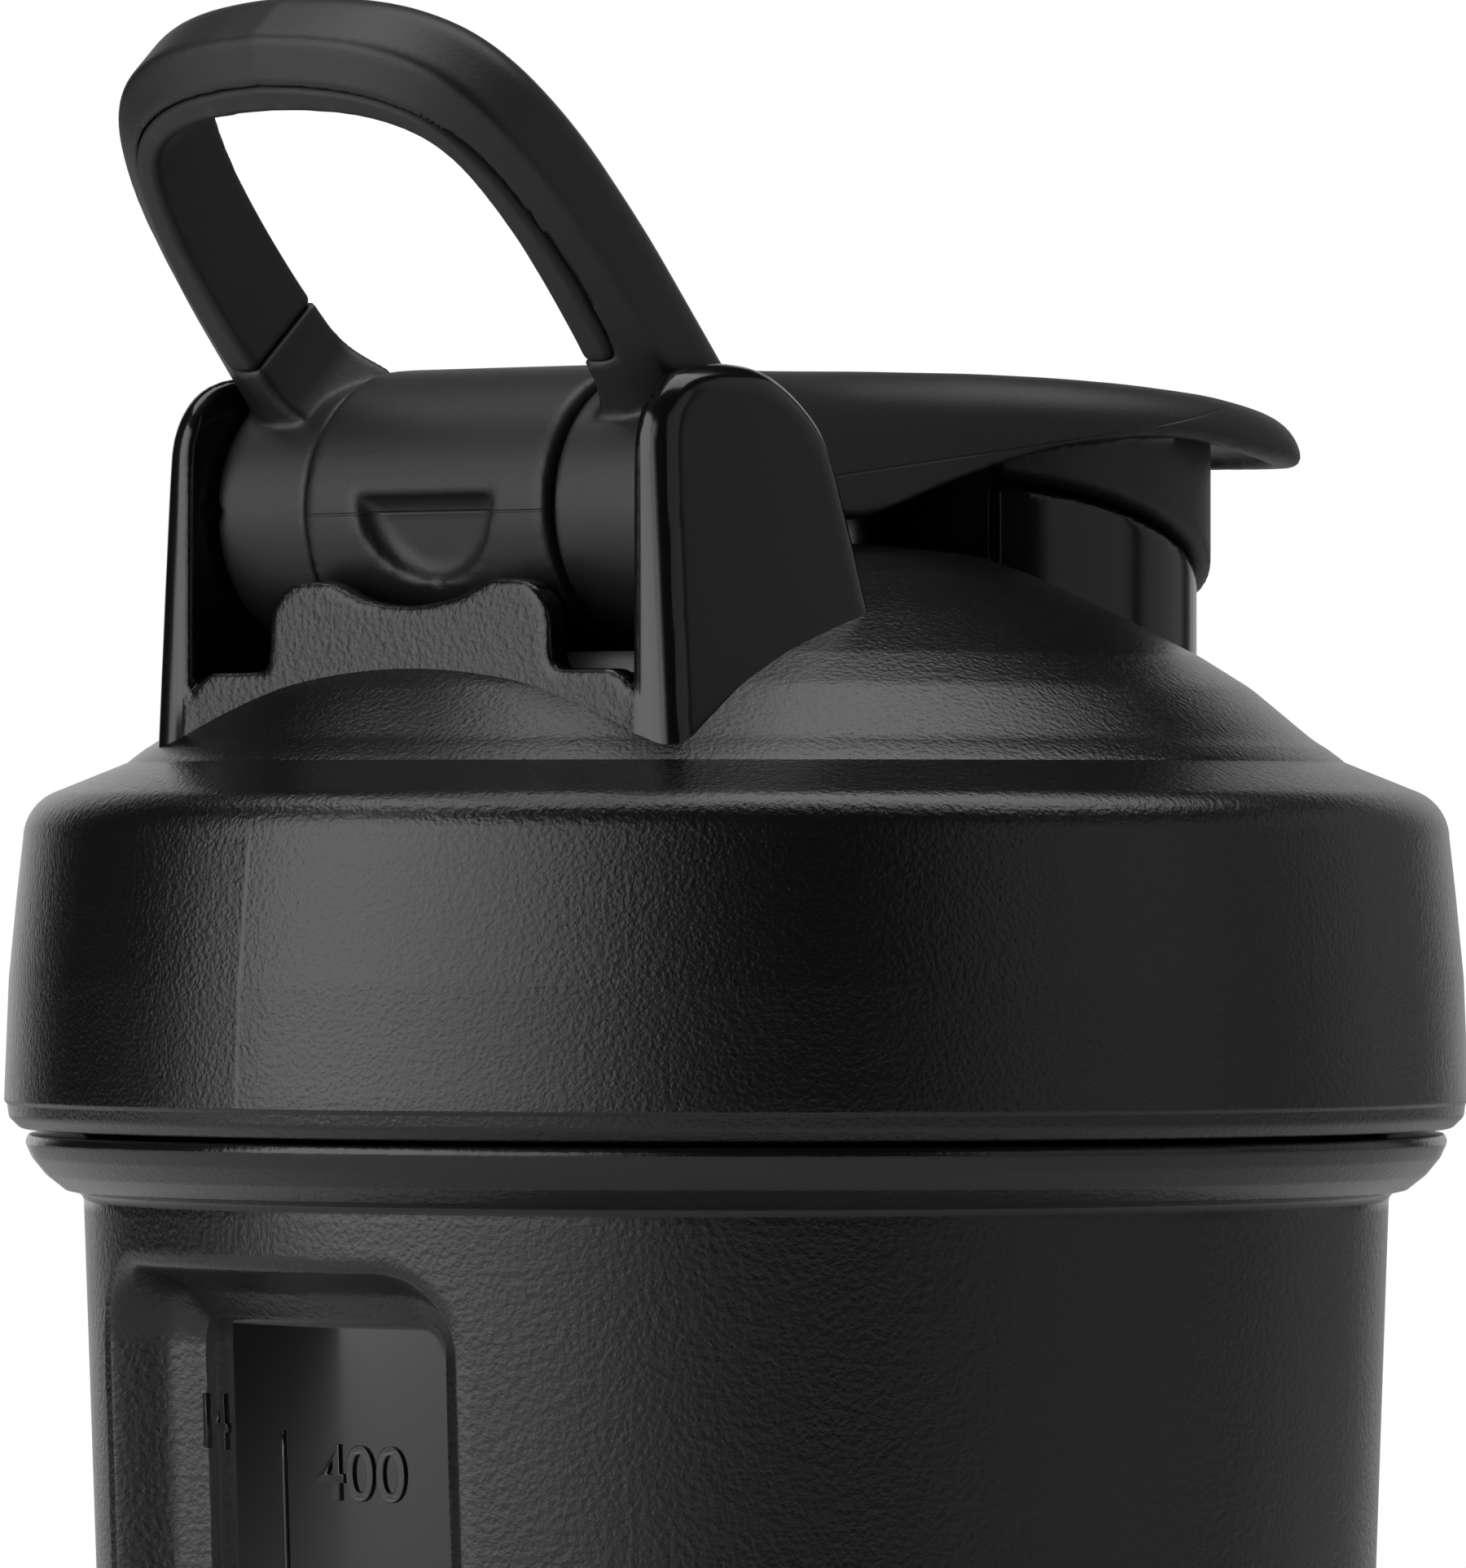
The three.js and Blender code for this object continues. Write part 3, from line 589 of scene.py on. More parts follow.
# Parts that the node trees share
def shapeTree(name, *sizes):  # a tree with these sizes and a material going in and a mesh coming out
    tree = bpy.data.node_groups.new(name, "GeometryNodeTree")
    for label in sizes:
        tree.interface.new_socket(label, in_out="INPUT", socket_type="NodeSocketFloat")
    tree.interface.new_socket("Material", in_out="INPUT", socket_type="NodeSocketMaterial")
    tree.interface.new_socket("Geometry", in_out="OUTPUT", socket_type="NodeSocketGeometry")
    return tree, tree.nodes.new("NodeGroupInput").outputs


def pathNodes(tree, count):  # a line of points, and how far along it each of them is
    line = tree.nodes.new("GeometryNodeCurvePrimitiveLine")
    spread = tree.nodes.new("GeometryNodeResampleCurve")
    spread.inputs["Count"].default_value = count
    tree.links.new(line.outputs[0], spread.inputs["Curve"])
    index = tree.nodes.new("GeometryNodeInputIndex").outputs[0]
    return spread.outputs[0], mathNode(tree, "DIVIDE", index, count - 1)


def placedNodes(tree, path, *xyz):  # the path's points put at these coordinates
    place = tree.nodes.new("ShaderNodeCombineXYZ")
    for value, socket in zip(xyz, place.inputs):
        tree.links.new(value, socket)
    put = tree.nodes.new("GeometryNodeSetPosition")
    tree.links.new(path, put.inputs["Geometry"])
    tree.links.new(place.outputs[0], put.inputs["Position"])
    return put.outputs[0]


def endTree(tree, shape, material):
    real = tree.nodes.new("GeometryNodeRealizeInstances")
    paint = tree.nodes.new("GeometryNodeSetMaterial")
    tree.links.new(shape, real.inputs[0])
    tree.links.new(real.outputs[0], paint.inputs["Geometry"])
    tree.links.new(material, paint.inputs["Material"])
    tree.links.new(paint.outputs[0], tree.nodes.new("NodeGroupOutput").inputs[0])
    return tree


# Screw threads: ridges on the jar's neck and inside the lid, up is from the jar's shoulder
threadShape = {
    "turn": 200, "lead": 8, "starts": 2, "root": 2.2, "crest": 1.2, "nominalDepth": 1.5,
    "runOut": 9, "tip": 0.12, "points": 90, "offWall": 0.5,
    "jarUp": 6.7, "jarDepth": 1.7, "lidUp": 4.7, "lidDepth": 1.6,
}


def threadTree(name, outward):
    s = threadShape
    tree, given = shapeTree(name, "Radius", "Height", "Depth", "Turn", "Rise")
    nodes, link = tree.nodes, tree.links.new
    value = partial(mathNode, tree)
    path, along = pathNodes(tree, s["points"])
    angle = value("MULTIPLY", along, given["Turn"])
    helix = placedNodes(tree, path, value("MULTIPLY", value("COSINE", angle), given["Radius"]),
                        value("MULTIPLY", value("SINE", angle), given["Radius"]),
                        value("ADD", value("MULTIPLY", along, given["Rise"]), given["Height"]))
    upright = nodes.new("GeometryNodeSetCurveNormal")
    upright.mode = "Z_UP"
    link(helix, upright.inputs["Curve"])
    # both ends run out over a ninth of the length
    left = value("MULTIPLY", value("SUBTRACT", 1, along), s["runOut"])
    ends = value("MINIMUM", value("MULTIPLY", along, s["runOut"]), left)
    fade = value("MAXIMUM", value("MINIMUM", ends, 1), s["tip"])
    profile = nodes.new("GeometryNodeCurvePrimitiveQuadrilateral")
    profile.mode = "TRAPEZOID"
    for socket, width in (("Bottom Width", s["root"]), ("Top Width", s["crest"])):
        link(value("MULTIPLY", given["Depth"], width / s["nominalDepth"]), profile.inputs[socket])
    link(given["Depth"], profile.inputs["Height"])
    profile.inputs["Offset"].default_value = 0
    turned = nodes.new("GeometryNodeTransform")
    turned.inputs["Rotation"].default_value = (0, 0, math.radians(-90 if outward else 90))
    link(profile.outputs[0], turned.inputs["Geometry"])
    tube = nodes.new("GeometryNodeCurveToMesh")
    tube.inputs["Fill Caps"].default_value = True
    link(upright.outputs[0], tube.inputs["Curve"])
    link(turned.outputs[0], tube.inputs["Profile Curve"])
    link(fade, tube.inputs["Scale"])
    # one ridge for each start, turned about the axis
    axisPoints = nodes.new("GeometryNodePoints")
    axisPoints.inputs["Count"].default_value = s["starts"]
    index = nodes.new("GeometryNodeInputIndex").outputs[0]
    spin = nodes.new("ShaderNodeCombineXYZ")
    link(value("MULTIPLY", index, 2 * math.pi / s["starts"]), spin.inputs[2])
    ridges = nodes.new("GeometryNodeInstanceOnPoints")
    link(axisPoints.outputs[0], ridges.inputs["Points"])
    link(tube.outputs[0], ridges.inputs["Instance"])
    link(spin.outputs[0], ridges.inputs["Rotation"])
    return endTree(tree, ridges.outputs[0], given["Material"])


def grown(name, tree, **inputs):  # runs a node tree and keeps its mesh
    holder = makeObject(name, [(0, 0, 0)], [])
    modifier = holder.modifiers.new("shape", "NODES")
    modifier.node_group = tree
    for item in tree.interface.items_tree:
        if item.in_out == "INPUT" and item.name in inputs:
            modifier[item.identifier] = inputs[item.name]
    made = baked(holder)
    shell = bmesh.new()
    shell.from_mesh(made.data)
    bmesh.ops.remove_doubles(shell, verts=shell.verts, dist=1e-7)
    bmesh.ops.recalc_face_normals(shell, faces=shell.faces)
    shell.to_mesh(made.data)
    shell.free()
    return made


def buildThread(name, outward, radius, height, depth, material):
    s = threadShape
    rise = s["lead"] * s["turn"] / 360
    return grown(name + "_thread", threadTree(name + "ThreadShape", outward), Radius=radius * mm,
                 Height=height * mm, Depth=depth * mm, Turn=math.radians(s["turn"]), Rise=rise * mm,
                 Material=material)


jarThread = buildThread("jar", True, jarShape["neck"] + threadShape["offWall"],
                        shoulder + threadShape["jarUp"], threadShape["jarDepth"], finish["jarWall"])
settle(jarThread, finish["jarWall"], "jar", "jar_plastic")
lidThread = buildThread("lid", False, lidBore - threadShape["offWall"],
                        shoulder + threadShape["lidUp"], threadShape["lidDepth"], finish["lidShell"])
settle(lidThread, finish["lidShell"], "lid", "lid_plastic")
for thread in (jarThread, lidThread):
    markSmooth(thread, np.zeros(len(thread.data.vertices), np.float32))
print("threads made")


# Lid: skirt and shoulder are (radius, height over the lower edge, rounding), the dome's rows are
# (inwards from its foot, height over the crease)
lidShape = {
    "crease": 23.0, "domeFoot": 38.2, "domeTop": 14, "plug": 38.2, "plugWall": 1.6, "plugTop": 18.8,
    "skirt": [(43.2, 0.5, 0), (43.6, 0, 0.4), (45.0, 0, 0.7), (45.75, 0.75, 0.6), (45.85, 1.55, 0.1),
              (46.05, 1.75, 0.25), (45.75, 9.4, 6), (45.25, 14.6, 6), (44.87, 18.05, 0)],
    "bendCentre": (41.65, 18.15), "bendRadius": 3.2, "bendTurn": 66, "bendSteps": 14,
    "slope": [(38.3, 22.95, 0.15), (38.0, 23.2, 0.15)], "domeEdge": (37.2, 0.8),
    "dome": [(0.4, 0.15), (1.9, 1.35), (5.8, 4.6), (9, 6.6), (14.5, 9.4), (19.7, 11.8), (22.8, 12.9),
             (28.3, 13.6)],
    "roof": [(0, 11.9), (10, 11.5), (18.5, 9.3), (24, 7.0), (29.5, 4.2)],
    "partingFrom": 1.8, "partingTo": 18.1, "partingWidth": 2.6, "partingStep": 0.05,
}

spoutShape = {"step": 0.36, "guard": 14.2, "tube": 12.2, "bore": 10.2, "lip": 2.6, "sunk": 2.2}

# The pocket between the towers that the barrel turns in, from the hinge line
pocketShape = {"side": 18.3, "back": 10.2, "front": 9.5, "depth": 10.2, "wall": 1.9}


def domeHeight(radius):  # top of the dome
    s = lidShape
    inset = [0] + [a for a, _ in s["dome"]] + [s["domeFoot"]]
    rise = [0] + [b for _, b in s["dome"]] + [s["domeTop"]]
    return lidBase + s["crease"] + np.interp(s["domeFoot"] - radius, inset, rise)


def cutAway(obj, cutter):
    modifier = obj.modifiers.new("cut", "BOOLEAN")
    modifier.operation = "DIFFERENCE"
    modifier.solver = "EXACT"
    modifier.object = cutter
    made = baked(obj)
    bpy.data.objects.remove(cutter)
    return made


def blockObject(low, high):
    points = [(x, y, z) for x in (low[0], high[0]) for y in (low[1], high[1]) for z in (low[2], high[2])]
    faces = [(0, 1, 3, 2), (4, 6, 7, 5), (0, 4, 5, 1), (2, 3, 7, 6), (0, 2, 6, 4), (1, 5, 7, 3)]
    return makeObject("cutter", points, faces)


# Angles of the lid's rings, close together at the mould's two upright parting lines
closeUp = 0.04 * np.linspace(-1, 1, 33)
evenTurn = np.arange(181) * math.pi / 90 + math.pi / 180
lidTurn = np.sort(np.concatenate([evenTurn, closeUp + math.pi / 2, closeUp + 1.5 * math.pi]))
lidTurn = lidTurn[np.concatenate([[True], np.diff(lidTurn) > 1e-4])][:-1]


def partingLine(k, radius, height, turn):  # the skirt stands out a hair on one side of the line
    s = lidShape
    if not (lidBase + s["partingFrom"] < height < lidBase + s["partingTo"] and radius > 44):
        return np.full(len(turn), radius)
    off = ((turn + 0.25 * math.pi) % math.pi - 0.75 * math.pi) * radius
    beside = (off < 0) & (off > -s["partingWidth"])
    return radius + np.where(beside, s["partingStep"] * (1 + off / s["partingWidth"]) ** 2, 0)


def keepNormals(obj, smoothObj):  # shading of the uncut surface, where the two still agree
    tree = KDTree(len(smoothObj.data.vertices))
    for vertex in smoothObj.data.vertices:
        tree.insert(vertex.co, vertex.index)
    tree.balance()
    normals = []
    for vertex in obj.data.vertices:
        _, nearest, gap = tree.find(vertex.co)
        normals.append(smoothObj.data.vertices[nearest].normal.copy() if gap < 1e-6 else vertex.normal.copy())
    obj.data.normals_split_custom_set_from_vertices(normals)


def buildLid():
    s = lidShape
    base, crease = lidBase, lidBase + s["crease"]
    skirt = rounded([(a, base + b, radius) for a, b, radius in s["skirt"]], 5)
    bend = [math.radians(s["bendTurn"] * k / s["bendSteps"]) for k in range(s["bendSteps"] + 1)]
    centre, radius = s["bendCentre"], s["bendRadius"]
    skirt += [(centre[0] + radius * math.cos(t), base + centre[1] + radius * math.sin(t)) for t in bend]
    edge = (s["domeEdge"][0], crease + s["domeEdge"][1], 0)
    slope = [(a, base + b, soft) for a, b, soft in s["slope"]]
    skirt += rounded([(*skirt[-1], 0)] + slope + [edge], 4)[1:]
    rows = [(s["domeFoot"] - a, crease + b, 8) for a, b in s["dome"][1:]]
    dome = rounded([edge] + rows + [(0.0, crease + s["domeTop"], 0)], 4)
    plugInside = s["plug"] - s["plugWall"]
    inner = [(a, crease + b) for a, b in s["roof"]]
    inner += [(plugInside, crease - 2.1), (plugInside, rimHeight - 3.5), (s["plug"], rimHeight - 3.5),
              (s["plug"], base + s["plugTop"]), (lidBore, base + s["plugTop"]), (lidBore, base + 0.7)]
    outside = refined(skirt, 1.2) + refined(dome, 1.5)[1:]
    shell = lathe("lid_shell", outside + refined(inner, 3)[1:], lidTurn, partingLine)
    smooth = np.zeros(len(shell.data.vertices), np.float32)
    smooth[len(outside) * len(lidTurn):] = 0.6
    markSmooth(shell, smooth)
    p, holeRadius = pocketShape, spoutShape["bore"]
    low = (-p["side"], hingeY - p["back"] + p["wall"], hingeZ - p["depth"])
    block = blockObject(low, (p["side"], hingeY + p["front"], hingeZ + 20))
    hole = [(0, base + 24), (holeRadius, base + 24), (holeRadius, base + 60), (0, base + 60)]
    bore = lathe("cutter", hole, fullTurn[::3])
    bore.data.transform(Matrix.Translation((0, spoutY * mm, 0)))
    whole = shell.copy()
    whole.data = shell.data.copy()
    made = cutAway(cutAway(shell, block), bore)
    keepNormals(made, whole)
    bpy.data.objects.remove(whole)
    return made


lid = settle(buildLid(), finish["lidShell"], "lid", "lid_plastic", "lid")
print("lid made:", len(lid.data.vertices))


# Hinge towers, the wall behind the hinge and the pocket's lining
# side is a tower's outline from the side, web the wall's from behind, both from the hinge line
towerShape = {
    "step": 0.36, "outer": 22.0, "lean": 1.6, "leanFrom": -18.5, "leanHeight": 27.3, "edge": 1.5,
    "lining": 1.8, "holeDepth": 1.6, "reach": 40,
    "side": [(-10.2, -20), (-10.2, 3.0), (-10.0, 4.6), (-9.4, 6.1), (-8.3, 7.4), (-6.7, 8.2), (-3.9, 8.6),
             (-0.4, 8.5), (2, 7.7), (4.6, 5.9), (6.3, 3.9), (7.8, -0.9), (9.3, -6.1), (10.4, -9.6),
             (13, -20)],
    "web": [(19, -20), (19, -10), (12.5, -10), (11.95, -9.8), (11.65, -9.3), (11.6, -6.9), (11.3, -5.9),
            (10.4, -4.9), (9.3, -4.45), (6.9, -4.4), (5.9, -4.75), (4.2, -5.5), (2.2, -5.9), (0.01, -6.05)],
}


def buildTowers():
    s, p = towerShape, pocketShape
    low = (-23, hingeY - 11.4, lidBase + 20.4)
    grid = gridOver(low, (23, hingeY + 14.4, hingeZ + 9.8), s["step"])
    x, y, z = grid[0], grid[1] - hingeY, grid[2] - hingeZ
    wide, side = np.abs(x), p["side"]
    outer = s["outer"] - s["lean"] * np.clip((z - s["leanFrom"]) / s["leanHeight"], 0, 1)
    tower = meet(distanceTo(eased(s["side"]), y, z), wide - outer, s["edge"])
    tower = cut(tower, wide - side, 0.5)
    tower = cut(tower, np.maximum(np.hypot(y, z) - pinHole, wide - side - s["holeDepth"]), 0.1)
    half = p["wall"] / 2
    web = meet(distanceTo(mirrored(s["web"]), x, z), np.abs(y + p["back"] - half) - half, 0.35)
    # the pocket's lining: a box round the room that the barrel turns in, kept under the dome
    box = np.maximum(wide - side - s["lining"], y - p["front"] - s["lining"])
    box = np.maximum(box, np.maximum(-y - p["back"] + 0.4, -z - p["depth"] - s["lining"]))
    room = np.maximum(np.maximum(wide - side, y - p["front"]),
                      np.maximum(-y - p["back"] + p["wall"], -z - p["depth"]))
    reach = np.hypot(grid[0], grid[1])
    lining = np.maximum(np.maximum(box, -room), (grid[2] - domeHeight(reach) + 0.3) * 0.8)
    whole = join(np.minimum(tower, lining), web, 0.3)
    hollow = reach - s["reach"] + 0 * z
    made = netOver("hinge_towers", np.maximum(whole, hollow), grid, s["step"])
    spots = np.zeros(3 * len(made.data.vertices), np.float32)
    made.data.vertices.foreach_get("co", spots)
    spots = spots.reshape(-1, 3) / mm
    onWeb = (np.abs(spots[:, 0]) < side + 0.3) & (spots[:, 1] < hingeY - p["back"] + 0.15)
    polished = np.where(onWeb, 0, 1).astype(np.float32)
    markSmooth(made, polished)
    return made


towers = settle(buildTowers(), finish["webGrain"], "lid", "lid_plastic")
print("towers made:", len(towers.data.vertices))


# Spout: tube and its raised guard, open towards the hinge
def ledge(y):  # height of the guard's top edge
    along = y - spoutY + 9.9
    return lidBase + 40.8 - 0.15 * along - 0.0079 * along * along


def gapTowardsHinge(x, y):  # a quarter turn left open, negative inside it
    diagonal = 0.7071
    return (np.abs(x) + (y - spoutY)) * diagonal


def buildSpout():
    s = spoutShape
    side = s["guard"] + 1
    low, high = (-side, spoutY - side, lidBase + 25), (side, spoutY + side, lidBase + 45)
    grid = gridOver(low, high, s["step"])
    x, y, z = grid
    radius = np.hypot(x, y - spoutY)
    guard = meet(radius - s["guard"], z - ledge(y) + 0.1, 0.45)
    guard = cut(guard, gapTowardsHinge(x, y), 0.4)
    tube = meet(radius - s["tube"], z - ledge(y) - s["lip"], 0.7)
    whole = cut(np.minimum(guard, tube), radius - s["bore"], 0.6)
    foot = domeHeight(np.hypot(x, y)) - s["sunk"]
    return netOver("spout", np.maximum(whole, foot - z), grid, s["step"])


spout = settle(buildSpout(), finish["lidGloss"], "lid", "lid_plastic")
print("spout made:", len(spout.data.vertices))


# Flip cap: barrel, arm and hood, with the skirt that covers the spout
# plan is the outline from above, top and rim its upper and lower edges from the side
capShape = {
    "step": 0.4, "barrel": 8.8, "half": 9.9, "roof": 2.0, "hollowFrom": 26.0,
    "skirt": 15.1, "skirtBore": 13.1, "boss": 7, "bossUp": 3, "crown": 0.35,
    "notch": 5.6, "notchUp": 0.9, "notchBack": 7.6, "notchSlope": 0.2, "holeDepth": 2.5,
    "plan": [(0.01, -4), (9.9, -4), (9.9, 12), (10.2, 20), (11.2, 26.5), (13.2, 32), (15.5, 37.5),
             (17.0, 43), (17.7, 49), (17.1, 54.5), (15.2, 58.8), (11.8, 61.8), (7, 63.6), (0.01, 64.1)],
    "top": [(-9, 8.8), (14, 8.8), (24.5, 9.1), (32.5, 9.2), (38, 9.1), (43.5, 8.85), (50, 8.35), (54, 7.8),
            (58.5, 7.1), (62, 6.4), (66, 5.3)],
    "rim": [(-9, -3), (8.2, -2.2), (9.6, -0.4), (16, -0.4), (21.6, -0.4), (26.5, 1.4), (31.3, 3.2),
            (35.8, 4.45), (40.2, 5.0), (43, 5.15), (46.5, 5.1), (50.5, 4.4), (54.5, 3.8), (58.5, 3.5),
            (63, 3.6), (66, 4.4)],
}


def smoothCurve(pairs, at, width=1.6):  # a bent line through the pairs with its corners eased
    spots = np.array(pairs)
    shifts = np.linspace(-width, width, 9)
    return sum(np.interp(at + shift, spots[:, 0], spots[:, 1]) for shift in shifts) / len(shifts)


def buildCap():
    s = capShape
    low, high = (-18.6, hingeY - 9.8, hingeZ - 9.8), (18.6, hingeY + 65, hingeZ + 10)
    grid = gridOver(low, high, s["step"])
    x, y, z = grid[0], grid[1] - hingeY, grid[2] - hingeZ
    wide = np.abs(x)
    outline = distanceTo(mirrored(s["plan"]), x, y)
    crown = s["crown"] * np.clip(wide / 14, 0, 1) ** 2
    top = z - smoothCurve(s["top"], y) + crown * softStep(y, 12, 30)
    rim = smoothCurve(s["rim"], y) - z
    ease = 0.7 + 3.1 * softStep(y, 4, 22) - 1.3 * softStep(y, 50, 62)  # edge radius along the arm
    hood = meet(meet(outline, top, ease), rim, 0.75)
    hollow = np.maximum(np.maximum(outline + s["roof"], top + s["roof"]), s["hollowFrom"] - y)
    hood = cut(hood, hollow, 0.5)
    barrel = meet(np.hypot(y, z) - s["barrel"], wide - s["half"], 0.35)
    whole = join(np.maximum(hood, -y), barrel, 0.2)
    # the skirt over the spout and the boss that holds the plug seal
    radius = np.hypot(x, grid[1] - spoutY)
    skirt = meet(radius - s["skirt"], ledge(grid[1]) + 0.15 - grid[2], 0.9)
    skirt = cut(np.maximum(skirt, s["skirtBore"] - radius), gapTowardsHinge(x, grid[1]), 0.4)
    boss = np.maximum(radius - s["boss"], ledge(grid[1]) + s["bossUp"] - grid[2])
    whole = np.minimum(whole, np.maximum(np.minimum(skirt, boss), top + 1))
    # the half-round notch behind the barrel, and the blind holes for the loop's pins
    above = z - s["notchUp"]
    notch = meet(np.hypot(x, above) - s["notch"], above, 0.2)
    notch = meet(notch, y + s["notchBack"] - s["notchSlope"] * np.clip(0.2 - z, 0, 6), 1.5)
    whole = cut(whole, notch, 0.3)
    hole = np.maximum(np.hypot(y, z) - pinHole, s["half"] - s["holeDepth"] - wide)
    return netOver("flip_cap_shell", cut(whole, hole, 0.1), grid, s["step"])


cap = settle(buildCap(), finish["capSatin"], "cap", "cap_plastic", "flip_cap")
print("cap made:", len(cap.data.vertices))


# Carry loop, made upright in its own plane and tilted back onto the hinge line
loopShape = {
    "step": 0.3, "tilt": 41.4, "front": 5.8, "back": -1.2, "hub": 8.3, "hubStart": 10.2, "hubEnd": 18.0,
    "reach": 37.2, "bevel": 0.63, "bedFrom": 11.7, "pin": 3, "pinMiddle": 13.8, "pinHalf": 5.8,
    "dimple": 0.65, "gate": 0.75, "gateAt": (-12.5, 3.2, 15.4),
    "outer": [(18, -1), (18, 13.5), (17.95, 17), (17.75, 20), (17.35, 24.2), (16.5, 27.8), (15.2, 31),
              (13.4, 33.4), (11.2, 35), (8.3, 36.2), (4.5, 36.9), (0.01, 37.2)],
    "line": [(15.8, 12.2), (16, 16), (15.9, 19.2), (15.55, 22.4), (14.8, 26.2), (13.7, 29), (12.2, 31),
             (10.2, 32.4), (7.6, 33.5), (4.1, 34.2), (0.01, 34.5)],
    "hole": [(13.3, 12.6), (13.45, 14.5), (13.5, 16.8), (13.5, 19.2), (13.4, 21.8), (13, 24.7), (12.3, 27.5),
             (11.2, 29.3), (9.6, 30.55), (7, 31.6), (3.6, 32.15), (0.01, 32.3)],
    "flare": [(10.2, -1), (10.2, 6.6), (10.7, 7.2), (11.6, 7.9), (12.6, 8.9), (13.15, 10.2),
              (13.35, 11.6), (13.42, 13.4)],
}


def tilted(points):
    turn = math.radians(loopShape["tilt"])
    x, y, z = np.asarray(points).T
    back = hingeY + y * math.cos(turn) - z * math.sin(turn)
    return np.stack([x, back, hingeZ + y * math.sin(turn) + z * math.cos(turn)], 1)


def loopGrid():
    s = loopShape
    return gridOver((-19.2, -9.6, -9.6), (19.2, 9.6, s["reach"] + 1.2), s["step"])


def loopBed(x, z):  # the recess that the lining lies in
    return meet(distanceTo(mirrored(loopShape["line"]), x, z), loopShape["bedFrom"] - z, 1.6)


def buildLoop():
    s = loopShape
    x, y, z = loopGrid()
    wide = np.abs(x)
    outer = distanceTo(mirrored(s["outer"]), x, z)
    plate = meet(outer, y - s["front"], 2.2)
    plate = meet(plate, s["back"] - y, 0.3)
    plate = meet(plate, (s["bevel"] * outer - y + 0.5) * 0.846, 0.35)  # 0.846 makes it a true distance
    opening = distanceTo(mirrored(s["flare"] + s["hole"][2:]), x, z)
    plate = cut(cut(plate, opening, 0.5), loopBed(x, z), 0.25)
    hub = meet(np.hypot(y, z) - s["hub"], wide - s["hubEnd"], 0.7)
    hub = cut(hub, wide - s["hubStart"], 0.3)
    # small pits at the hub's rim and a gate mark on one leg
    turn = math.radians(s["tilt"])
    level = z * math.cos(turn) + y * math.sin(turn)
    back = y * math.cos(turn) - z * math.sin(turn)
    dimple = np.sqrt((wide - s["hubEnd"]) ** 2 + (back + s["hub"]) ** 2 + level ** 2) - s["dimple"]
    a, b, c = s["gateAt"]
    gate = np.sqrt((x - a) ** 2 + (y - b) ** 2 + (z - c) ** 2) - s["gate"]
    whole = join(plate, hub, 0.15)
    whole = np.maximum(whole, np.where(z < 9, s["hubStart"] - wide, -99))  # legs stay off the barrel
    whole = np.maximum(np.maximum(whole, -dimple), -gate)
    pin = np.maximum(np.hypot(y, z) - s["pin"], np.abs(wide - s["pinMiddle"]) - s["pinHalf"])
    return netOver("loop_frame", np.minimum(whole, pin), loopGrid(), s["step"], tilted)


def buildGrip():
    s = loopShape
    x, y, z = loopGrid()
    opening = distanceTo(mirrored([(12.2, 5)] + s["hole"]), x, z)
    strip = cut(loopBed(x, z) + 0.06, opening, 0.1)
    strip = meet(strip, y - s["front"] - 0.02, 0.35)
    strip = meet(strip, s["back"] - 0.02 - y, 0.3)
    return netOver("loop_insert", cut(strip, opening, 0.9), loopGrid(), s["step"], tilted)


loop = settle(buildLoop(), finish["loopSatin"], "loop", "loop_plastic", "carry_loop")
grip = settle(buildGrip(), finish["gripSoft"], "loop", "grip_rubber", "loop_grip")
print("loop made:", len(loop.data.vertices), len(grip.data.vertices))


# Whisk ball, a wire wound over a sphere
whiskShape = {"ball": 25.0, "wire": 1.078, "turns": 7, "pole": 0.3, "tip": 0.45, "points": 520, "sides": 12}


def whiskTree():
    s = whiskShape
    tree, given = shapeTree("whiskShape", "Ball radius", "Wire radius", "Turns", "Centre")
    nodes, link = tree.nodes, tree.links.new
    value = partial(mathNode, tree)
    path, along = pathNodes(tree, s["points"])
    polar = value("ADD", value("MULTIPLY", along, math.pi - 2 * s["pole"]), s["pole"])
    around = value("MULTIPLY", value("MULTIPLY", along, given["Turns"]), 2 * math.pi)
    level = value("MULTIPLY", value("SINE", polar), given["Ball radius"])
    wound = placedNodes(tree, path, value("MULTIPLY", level, value("COSINE", around)),
                        value("MULTIPLY", level, value("SINE", around)),
                        value("MULTIPLY", value("COSINE", polar), given["Ball radius"]))
    section = nodes.new("GeometryNodeCurvePrimitiveCircle")
    section.inputs["Resolution"].default_value = s["sides"]
    link(given["Wire radius"], section.inputs["Radius"])
    tube = nodes.new("GeometryNodeCurveToMesh")
    tube.inputs["Fill Caps"].default_value = True
    link(wound, tube.inputs["Curve"])
    link(section.outputs[0], tube.inputs["Profile Curve"])
    move = nodes.new("GeometryNodeTransform")
    move.inputs["Rotation"].default_value = (s["tip"], 0, 0)
    lift = nodes.new("ShaderNodeCombineXYZ")
    link(given["Centre"], lift.inputs[2])
    link(tube.outputs[0], move.inputs["Geometry"])
    link(lift.outputs[0], move.inputs["Translation"])
    return endTree(tree, move.outputs[0], given["Material"])


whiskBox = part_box("whisk_ball")
whisk = grown("whisk_wire", whiskTree(), **{
    "Ball radius": whiskShape["ball"] * mm, "Wire radius": whiskShape["wire"] * mm,
    "Turns": float(whiskShape["turns"]), "Centre": (whiskBox[0].z + whiskBox[1].z) / 2,
    "Material": finish["wireBright"]})
settle(whisk, finish["wireBright"], "whisk", "wire_steel", "whisk_ball")
print("whisk made:", len(whisk.data.vertices))


# The two seals keep the frame's own solids
for name in ("lid_seal", "cap_seal"):
    node = frame["nodes"][name]
    node.data.materials.clear()
    node.data.materials.append(finish["sealSoft"])


